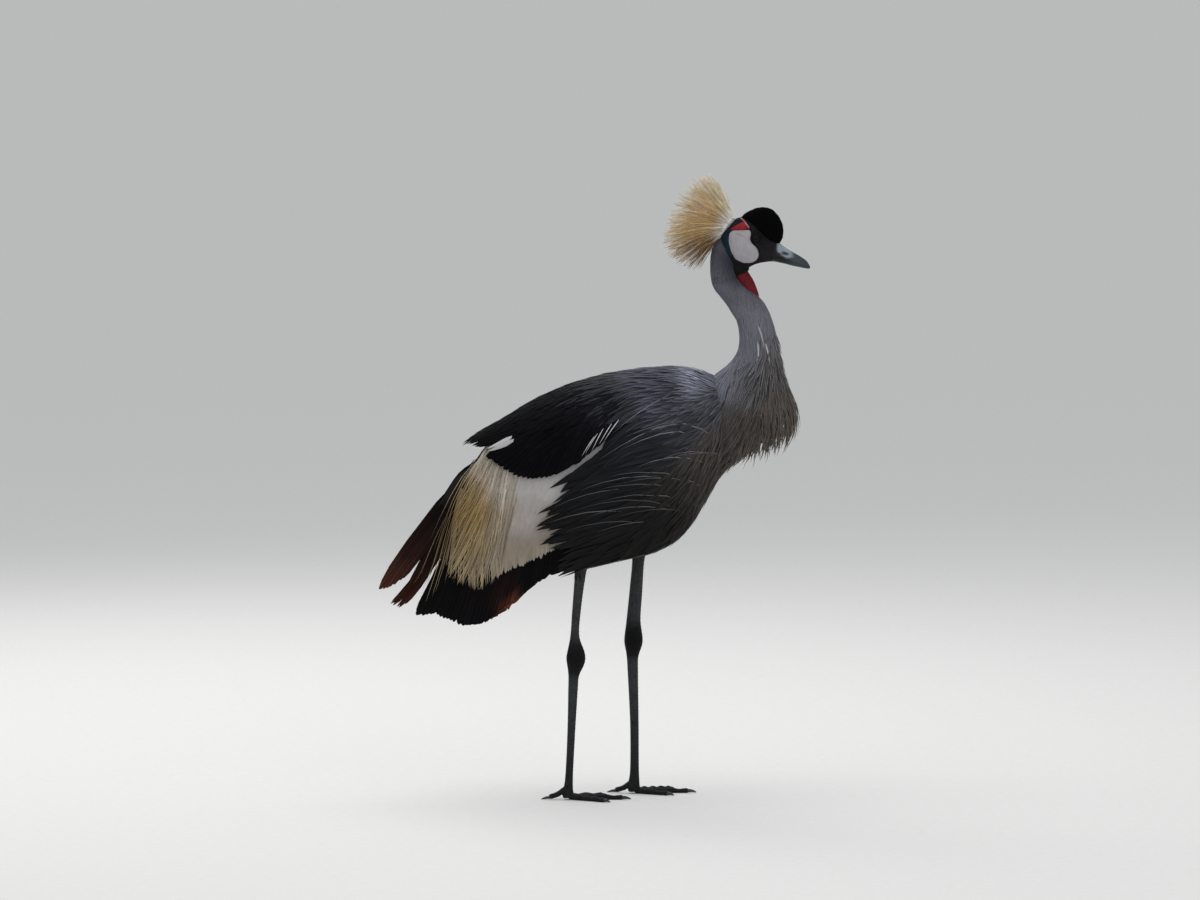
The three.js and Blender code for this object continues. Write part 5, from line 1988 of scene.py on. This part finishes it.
@dataclass(frozen=True)
class Head:
    """Velvet cap, down of the face, bare cheeks, eyes with their lids, and the wattle.

    Attributes:
        eye_at: Middle of the left eye.
        eye_radius: Its radius.
        pupil: Angle from its middle that the pupil reaches, and from which the ball is dark again.
        rose: Points x, z of the pale edge over the red patch.
        brow: Rows of height and of how far forward the down of the face reaches.
    """

    eye_at: Triple = (257, 20.3, 896)
    eye_radius: float = 6.4
    pupil: Pair = (30, 75)
    rose: Rows = ((233, 928.5), (237, 925.5), (242, 919.5), (246.5, 913.5))
    brow: Rows = ((856, 306), (862, 304), (868, 298), (876, 291), (890, 290))

    def build(self) -> None:
        """Makes the head's pieces."""
        for name, side in SIDES.items():
            CHEEK.build(name, side)
            RED_PATCH.build(name, side)
            self.build_rose(name, side)
            self.build_eye(name, side)
        self.build_cap()
        self.build_face()
        self.build_wattle()

    def build_rose(self, name: str, side: int) -> None:
        """Makes the pale strip of skin along the red patch."""
        rows = [(x, side * (SKULL.side(x, z) + 0.3), z, 1.05, 0.95) for x, z in self.rose]
        ends = [(*row[:3], 0.4, 0.4) for row in (rows[0], rows[-1])]
        bm = bmesh.new()
        loft(bm, Tube((ends[0], *rows, ends[1])).rings(24, 12))
        wear(object_from(bm, f"rose_strip_{name}", BARE_ROSE.build()), "white_skin")

    def build_eye(self, name: str, side: int) -> None:
        """Makes one eye, with iris and pupil under a wet cornea, and its lids."""
        x, y, z = self.eye_at
        centre = Vector((x, side * y, z)) * MM
        turn = Vector((0.08, side, 0.04)).to_track_quat("Z", "Y").to_matrix()
        bm = bmesh.new()
        bmesh.ops.create_uvsphere(bm, u_segments=48, v_segments=32, radius=self.eye_radius * MM)
        for face in bm.faces:
            away = math.degrees(Vector((0, 0, 1)).angle(face.calc_center_median()))
            face.material_index = 1 if away < self.pupil[0] or away > self.pupil[1] else 0
        bmesh.ops.rotate(bm, matrix=turn, verts=bm.verts)
        bmesh.ops.translate(bm, vec=centre, verts=bm.verts)
        wear(object_from(bm, f"eyeball_{name}", IRIS.build(), PUPIL.build()), "eye", f"eye_{name}")
        bm = bmesh.new()
        bmesh.ops.create_circle(bm, segments=12, radius=1.2 * MM)
        bmesh.ops.rotate(bm, matrix=Vector((0, 1, 0)).to_track_quat("Z", "Y").to_matrix(), verts=bm.verts)
        bmesh.ops.translate(bm, vec=(self.eye_radius * 0.93 * MM, 0, 0), verts=bm.verts)
        bmesh.ops.spin(bm, geom=bm.verts[:] + bm.edges[:], axis=(0, 0, 1), cent=(0, 0, 0),
                       angle=2 * math.pi, steps=40, use_merge=True)
        bmesh.ops.remove_doubles(bm, verts=bm.verts, dist=0.01 * MM)
        bmesh.ops.scale(bm, vec=(1.12, 0.92, 1.0), verts=bm.verts)
        bmesh.ops.rotate(bm, matrix=turn, verts=bm.verts)
        bmesh.ops.translate(bm, vec=centre + Vector((0, side * 3.4, 0)) * MM, verts=bm.verts)
        wear(object_from(bm, f"eyelids_{name}", EYELID.build()), "face_skin")

    def build_cap(self) -> None:
        """Makes the forehead's cushion of plush and its pile."""
        bm = bmesh.new()
        ball, unit = add_ball(bm, 64, 40)
        a = np.arctan2(unit[:, 1], unit[:, 0]) * CAP.radius
        b = np.arcsin(np.clip(unit[:, 2], -1, 1)) * CAP.radius
        put(ball, CAP.point(a, b))
        cushion = object_from(bm, "cap_cushion", VELVET_PILE.build())
        paint(cushion.data, linear("#060607"))
        wear(cushion, "velvet_feathers", "cap")
        half = math.pi * CAP.radius
        a, b = scatter((-half, -40), (half, 40), (1.25, 1.25), 300)
        thinned = np.random.default_rng(302).uniform(0, 1, len(a)) < np.cos(b / CAP.radius)
        lie = Lie(2.2, 0.35, -0.9, 0.45, turn=14, ruffle=0.12, vary=0.2, shade=0.2, rooted=True)
        pile = lie.feathers(CAP, a[thinned], b[thinned], 170.0, 301)
        Plumage("cap_pile", "velvet_feathers", CAP, CAP_COLOURS, VELVET_PILE, Shape.TUFT, thickness=0.25,
                unwrap=(-90, -60, 180)).build(pile)

    def bare(self, places: Array) -> Array:
        """Tells which places lie on bare skin or on the eye."""
        x, z = places[:, 0], places[:, 2]
        found = np.hypot(x - self.eye_at[0], z - self.eye_at[2]) < self.eye_radius + 1.0
        for patch in (CHEEK, RED_PATCH):
            found |= inside(patch.outline, x, z)
        return found

    def build_face(self) -> None:
        """Makes the fine down of face, nape and throat, which leaves the cheeks bare."""
        a, b = scatter((203, -75), (307, 75), (1.7, 1.7), 310)
        kept = a < profile(self.brow)(SKULL.point(a, b)[:, 2])
        a, b = a[kept], b[kept]
        roots = SKULL.point(a, b)
        lie = Lie(5.2, 0.75, -0.8, 0.1, turn=5, ruffle=0.06, vary=0.15, shade=0.08, rooted=True)
        down = lie.feathers(SKULL, a, b, mix(180.0, 250.0, smooth_step(900, 862, roots[:, 2])), 311)
        reach = down.length * 0.8
        tips = SKULL.point(a + down.along[:, 0] * reach, b + down.along[:, 1] * reach)
        Plumage("face_down", "velvet_feathers", SKULL, FACE_COLOURS, FACE_DOWN, Shape.TUFT, thickness=0.18,
                unwrap=(190, -90, 190)).build(down.only(~(self.bare(roots) | self.bare(tips))))
        half = math.pi * THROAT.radius
        a, b = scatter((-half, -20), (half, 18), (1.8, 1.8), 320)
        lie = Lie(6.5, 0.9, -1.0, 0.4, turn=6, ruffle=0.2, vary=0.2, shade=0.08, rooted=True)
        Plumage("throat_down", "velvet_feathers", THROAT, FACE_COLOURS, FACE_DOWN, Shape.TUFT, thickness=0.3,
                unwrap=(-60, -40, 120)).build(lie.feathers(THROAT, a, b, 262.0, 321))

    def build_wattle(self) -> None:
        """Makes the folded red wattle under the throat."""
        bm = bmesh.new()
        loft(bm, Tube(WATTLE_ROWS).rings(60, 40))
        wattle = object_from(bm, "wattle_fold", WATTLE_SKIN.build())
        places = places_of(wattle.data)
        fold = 0.7 * np.sin(places[:, 2] * 0.75 + places[:, 0] * 0.5) * np.cos(places[:, 0] * 0.6)
        places[:, 1] *= 1 + 0.06 * fold
        places[:, 0] += 0.15 * fold
        move_points(wattle.data, places)
        wear(wattle, "red_skin", "wattle")


@dataclass(frozen=True)
class Bill:
    """The two halves of the bill, of slate-grey horn, with a slit nostril each side.

    Attributes:
        rows: Rows of x, ridge, cutting edge, lower edge and half width.
        nostril: Point x, z, half length and half height of a nostril.
        depth: Its depth in mm.
        shades: Colours of the root, the middle, the pale band over the cutting edge as a painted highlight,
            the tip and the painted shade in the nostril.
    """

    rows: Rows = (
        (284, 895.5, 866.5, 859.5, 13.6), (293, 890, 865.2, 857.5, 12.4), (305, 881.5, 861.5, 855, 9.6),
        (316, 874.5, 857.8, 852, 7.4), (328, 867.5, 853.8, 849.6, 5.4), (338, 860.5, 850.6, 847.6, 3.6),
        (342.5, 854.5, 849.2, 847.4, 2.0), (344.4, 850.6, 848.6, 848, 0.5),
    )
    nostril: tuple[float, float, float, float] = (304.5, 872, 6.2, 2.5)
    depth: float = 3.0
    shades: tuple[str, ...] = ("#0e0d11", "#3a4247", "#94a2ab", "#33383b", "#08090a")

    def build(self) -> None:
        """Makes both halves."""
        root, middle, pale, tip, nostril_shade = (linear(shade) for shade in self.shades)
        for name, upper in (("bill_upper", True), ("bill_lower", False)):
            bm = bmesh.new()
            loft(bm, [self.ring(row, upper) for row in smooth_rows(self.rows, 70)])
            half = object_from(bm, f"{name}_horn", BILL_HORN.build())
            places = places_of(half.data)
            x, z = places[:, 0], places[:, 2]
            at_x, at_z, long, high = self.nostril
            hole = ((x - at_x) / long) ** 2 + ((z - at_z + 0.28 * (x - at_x)) / high) ** 2
            dent = np.exp(-(hole**1.5)) * (self.depth if upper else 0)
            places[:, 1] -= np.sign(places[:, 1]) * np.minimum(dent, np.abs(places[:, 1]) * 0.4)
            move_points(half.data, places)
            foot = np.maximum(865.0, 875 - 0.75 * (x - 292))
            # Painted highlight: a pale band along the base, over the cutting edge.
            band = smooth_step(322, 310, x) * smooth_step(-1.5, 2.0, z - foot) * smooth_step(289, 294, x)
            colour = mix(root, middle, smooth_step(298, 322, x)[:, None])
            colour = mix(colour, pale, band[:, None])
            colour = mix(colour, tip, smooth_step(328, 343, x)[:, None] * 0.5)
            # Painted shade in the nostril's slit, on the upper half only.
            colour = mix(colour, nostril_shade, np.exp(-(hole**2.0))[:, None] * float(upper))
            paint(half.data, colour)
            wear(half, "horn", name)

    def ring(self, row: Array, upper: bool) -> Array:
        """Gives one section, an arched back over a flat cutting edge.

        Args:
            row: Place x, ridge, cutting edge, lower edge and half width.
            upper: Whether it is the upper half.

        Returns:
            Places round the section.
        """
        x, top, gape, low, width = row
        edge = gape + 0.12 if upper else gape - 0.12
        rise = (top if upper else low) - edge
        turn = np.linspace(0, math.pi, 25)
        arch = np.stack([x + 0 * turn, np.cos(turn) * width, edge + rise * np.sin(turn) ** 0.9], axis=-1)
        flat = np.linspace(-1, 1, 8)[1:-1]
        return np.concatenate([arch, np.stack([x + 0 * flat, flat * width, edge + 0 * flat], axis=-1)])


@dataclass(frozen=True)
class Crest:
    """The fan of stiff straw-gold bristles on the nape.

    Attributes:
        foot: Points x, z of the upper and the lower end of the fan's root.
        fan: Rows of place in the fan, angle in the side view and length.
        side_spread: Greatest angle to the side in degrees.
        radius: Half thickness of a bristle at its root in mm.
        rows: Intervals along a bristle.
        buried: Length in mm under the skin.
        pale: Colour at the roots, their pale cream whitened as painted light against the shade among the
            crowded roots.
        shades: Colours of the middle bristles, the lower ones, the upper ones and some tips.
    """

    foot: tuple[Pair, Pair] = ((223.8, 927.2), (205.9, 903.5))
    fan: Rows = (
        (0, 116, 60), (0.06, 117.5, 68), (0.12, 119.5, 84), (0.3, 141, 91), (0.45, 168, 96), (0.55, 180, 99),
        (0.7, 194, 102), (0.8, 205, 97), (0.92, 223, 82), (1, 236, 66),
    )
    side_spread: float = 34.0
    count: int = 900
    radius: float = 0.48
    rows: int = 8
    buried: float = 6.0
    pale: str = "#fffaf0"
    shades: tuple[str, ...] = ("#e0c08a", "#8d6a3c", "#f2e4c6", "#e3d6b8")

    def build(self) -> None:
        """Makes the crest."""
        rng = np.random.default_rng(500)
        i = np.arange(self.count)
        reach = np.sqrt((i + 0.5) / self.count)
        golden = math.pi * (3 - math.sqrt(5))
        tilt = reach * np.cos(i * golden)
        place = (tilt + 1) / 2
        turn = np.radians(reach * np.sin(i * golden) * self.side_spread + rng.normal(0, 1.5, self.count))
        angle = np.radians(profile(self.fan)(place) + rng.normal(0, 2, self.count).clip(-3, 3))
        way = np.stack([np.cos(angle), np.tan(turn), np.sin(angle)], axis=-1)
        way /= np.linalg.norm(way, axis=-1, keepdims=True)
        full = profile(self.fan, 2)(place) * rng.uniform(0.82, 1.04, self.count)
        (top_x, top_z), (low_x, low_z) = self.foot
        foot = np.stack([mix(top_x, low_x, place), 14 * turn, mix(top_z, low_z, place)], axis=-1)
        t = np.linspace(0, 1, self.rows + 1)
        along = (full[:, None] + self.buried) * t - self.buried
        bend = rng.normal(0, 3.0, (self.count, 2))
        side = np.cross(way, [0.0, 1.0, 0.0])
        side /= np.linalg.norm(side, axis=-1, keepdims=True)
        over = np.cross(way, side)
        line = foot[:, None] + way[:, None] * along[..., None]
        for out, off in ((side, bend[:, :1]), (over, bend[:, 1:])):
            line = line + out[:, None] * (off * t**2)[..., None]
        line[..., 2] += 3 * np.sin(math.pi * t)
        thick = self.radius * (1 - 0.5 * t) * (1 + 0.7 * np.exp(-((t - 0.985) / 0.02) ** 2))
        spin = rng.uniform(0, 2 * math.pi, self.count)[:, None] + 5 * t
        points = []
        for corner in range(3):
            about = (spin + corner * 2 * math.pi / 3)[..., None]
            out = side[:, None] * np.cos(about) + over[:, None] * np.sin(about)
            points.append(line + out * thick[..., None])
        places = np.stack(points, axis=2).reshape(-1, 3) * MM
        crest = mesh_object("crest_fan", places, closed_tubes(self.count, self.rows, 3))
        paint(crest.data, np.repeat(self.colours(tilt, t, rng)[:, :, None], 3, axis=2).reshape(-1, 3))
        self.unwrap(crest.data, t, angle, turn)
        crest.data.materials.append(STRAW_BRISTLE.build())
        crest.data.shade_smooth()
        wear(crest, "crest_bristles", "crest")

    def colours(self, tilt: Array, t: Array, rng: np.random.Generator) -> Array:
        """Works out the bristles' colours.

        Args:
            tilt: Place of each bristle in the fan, 1 at its lower edge.
            t: Shares along a bristle.
            rng: Random numbers.

        Returns:
            Colours by bristle and row.
        """
        share = t[None, :, None]
        gold, brown, cream, fleck = (linear(shade) for shade in self.shades)
        middle = mix(gold, brown, smooth_step(0.1, 0.9, tilt)[:, None, None])
        middle = mix(middle, cream, smooth_step(0.2, 0.9, -tilt)[:, None, None])
        # Painted light: the roots are whitened and made a fifth brighter, against the shade among the crowded
        # bristles.
        colour = mix(linear(self.pale), middle, smooth_step(0.12, 0.45, share))
        band = mix(1.2, rng.uniform(0.6, 1.25, (self.count, len(t), 1)), smooth_step(0.05, 0.35, share))
        colour = colour * band * rng.uniform(0.7, 1.2, (self.count, 1, 1))
        colour = colour * mix(1.08, 0.8, smooth_step(0.5, 0.95, share))
        speck = (rng.uniform(0, 1, (self.count, 1, 1)) < 0.5) * smooth_step(0.93, 1.0, share)
        return mix(colour, fleck, speck)

    def unwrap(self, mesh: Mesh, t: Array, angle: Array, turn: Array) -> None:
        """Gives the bristles their maps.

        Args:
            mesh: The mesh.
            t: Shares along a bristle.
            angle: Angle of each in the side view.
            turn: Angle of each to the side.
        """
        share, corner = np.meshgrid(t, np.arange(3), indexing="ij")
        root = np.stack([0.1 + angle / 5, 0.5 + turn / 2], axis=-1)[:, None, None]
        patch = np.stack([share - 0.5, corner / 3 - 0.5], axis=-1) * BAKE_PATCH
        add_map(mesh, "OFBake", (root + patch).reshape(-1, 2))
        vane = np.stack([share, 0.5 + (corner - 1) * 0.006], axis=-1).reshape(-1, 2)
        add_map(mesh, "Vane", np.tile(vane, (self.count, 1)))


# Legs and feet


TOE_RADIUS = 5.2  # mm, at the first pad


@dataclass(frozen=True)
class Toe:
    """A toe with its claw, as rows of distance from the ankle, height and radius.

    Attributes:
        name: Its name.
        heading: Direction in degrees, positive away from the bird's middle.
        pads: Rows of the toe.
        nail: Rows of the claw.
    """

    name: str
    heading: float
    pads: Rows
    nail: Rows

    @classmethod
    def front(cls, name: str, heading: float, length: float, claw: float, joints: int) -> Toe:
        """Makes a front toe, flat on the floor and swollen at its joints.

        Args:
            name: Its name.
            heading: Direction in degrees.
            length: Length of the pads.
            claw: Length of the claw.
            joints: Number of joints.

        Returns:
            The toe.
        """
        pads = []
        for t in (i / (joints * 4) for i in range(joints * 4 + 1)):
            r = TOE_RADIUS * (1 - 0.3 * t) * (1 + 0.13 * math.cos(2 * math.pi * t * joints))
            pads.append((4 + length * t, r * 0.86 + 0.1, r))
        end = 4 + length
        nail = (
            (end - 3, 3.6, 2.8), (end + claw * 0.3, 3.5, 2.6), (end + claw * 0.7, 2.7, 1.7),
            (end + claw, 1.2, 0.7),
        )
        return cls(name, heading, tuple(pads), nail)

    def line(self, rows: Rows, name: str) -> Rows:
        """Places rows of the toe on one foot.

        Args:
            rows: Its pads or its nail.
            name: Side of the bird.

        Returns:
            Rows of x, y, z, half depth and half width.
        """
        x, y = LEGS[name].rows[-1][:2]
        turn = math.radians(self.heading)
        ahead, aside = math.cos(turn), SIDES[name] * math.sin(turn)
        return tuple((x + ahead * reach, y + aside * reach, z, r, r) for reach, z, r in rows)


@dataclass(frozen=True)
class Legs:
    """Feathered thighs, scaly shanks, feet with four toes, and claws.

    Attributes:
        toes: The toes.
        scute: Height of a leg's scutes and of a toe's, in mm.
        pitch: Spacing of a leg's scutes and of a toe's, in mm.
    """

    toes: tuple[Toe, ...] = (
        Toe.front("inner", -32, 58, 13, 2),
        Toe.front("middle", 3, 82, 14, 3),
        Toe.front("outer", 36, 66, 12, 4),
        Toe("hind", 172, ((0, 20, 4.6), (9, 14.4, 4.4), (18, 8.4, 4.2), (30, 4.4, 4)),
            ((28, 4, 2.6), (36.3, 3.2, 2.1), (44, 1.2, 0.7))),
    )
    scute: Pair = (0.45, 0.4)
    pitch: Pair = (6.2, 4.2)

    def build(self) -> None:
        """Makes both legs."""
        for name in SIDES:
            self.build_leg(name)
            for toe in self.toes:
                bm = bmesh.new()
                loft(bm, Tube(toe.line(toe.nail, name)).rings(16, 20))
                nail = object_from(bm, f"nail_{toe.name}_{name}", CLAW_HORN.build())
                wear(nail, "horn", f"claw_{toe.name}_{name}")
            self.build_thigh(name)

    def scutes(self, name: str, places: Array) -> Array:
        """Works out how high the scutes stand out of the skin.

        Args:
            name: Side of the bird.
            places: Places on the skin.

        Returns:
            Heights in mm.
        """
        x, y, z = places.T
        rows = np.array(LEGS[name].rows, float)[::-1]
        ahead = x - np.interp(z, rows[:, 2], rows[:, 0])
        reach = np.hypot(x - rows[0, 0], y - rows[0, 1])
        on_leg = smooth_step(-1, 3, ahead) * smooth_step(14, 24, z)
        on_toe = smooth_step(14, 8, z) * smooth_step(3, 6, z)
        return sum(
            height * np.abs(np.sin(math.pi * along / pitch)) ** 0.5 * share
            for height, pitch, along, share in zip(self.scute, self.pitch, (z, reach), (on_leg, on_toe))
        )

    def build_leg(self, name: str) -> None:
        """Makes the bare leg and toes as one skin with rows of scutes, darker at the hock."""
        bm = bmesh.new()
        loft(bm, Tube(LEGS[name].rows[2:]).rings(90, 28))
        for toe in self.toes:
            loft(bm, Tube(toe.line(toe.pads, name)).rings(30, 20))
        leg = object_from(bm, f"bare_leg_{name}", LEG_SCALES.build())
        fuse(leg, LEG_VOXEL)
        places = places_of(leg.data)
        z = places[:, 2].copy()
        normals = np.empty(len(places) * 3, np.float32)
        leg.data.vertices.foreach_get("normal", normals)
        places = places + normals.reshape(-1, 3) * self.scutes(name, places)[:, None]
        places[:, 2] = np.maximum(places[:, 2], 0.0)
        move_points(leg.data, places)
        hock = LEGS[name].hock
        light = profile((
            (0, 0.3), (40, 0.42), (110, 0.75), (170, 1), (hock - 34, 0.95), (hock - 22, 0.2), (hock + 20, 0.16),
            (hock + 38, 0.9), (380, 1.2),
        ))(z)
        paint(leg.data, light[:, None])
        nodes = (f"{part}_{name}" for part in ("shank", "tarsus", *(f"toe_{toe.name}" for toe in self.toes)))
        wear(leg, "leg_scales", *nodes)

    def build_thigh(self, name: str) -> None:
        """Makes the short feathers of the thigh."""
        surface = Tube(LEGS[name].rows[:7])
        half = math.pi * surface.radius
        a, b = scatter((-half, 18), (half, float(surface.down_to(LEGS[name].parting))), (5, 6), 600)
        feathers = Lie(34, 2.3, -3.4, 0.1, ruffle=0.3, turn=4, vary=0.25).feathers(surface, a, b, 262.0, 601)
        Plumage(f"thigh_feathers_{name}", "slate_feathers", surface, COAT_COLOURS, SLATE_FLANK, Shape.POINTED,
                thickness=0.5, rim=0.15, unwrap=(-100, -60, 300), nodes=(f"thigh_{name}",)).build(feathers)


def main() -> None:
    """Builds the crane's parts in order."""
    logging.basicConfig(level=logging.INFO, format="%(name)s: %(message)s")
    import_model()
    solid_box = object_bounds()
    Studio().build()
    for part in (BodySkin(), BodyCoat(), Wings(), ShoulderVanes(), Tail(), Head(), Bill(), Crest(), Legs()):
        part.build()
    ({name: [list(corner) for corner in box] for name, box in
               (("cad", solid_box), ("visual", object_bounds()))})


if __name__ == "__main__":
    main()
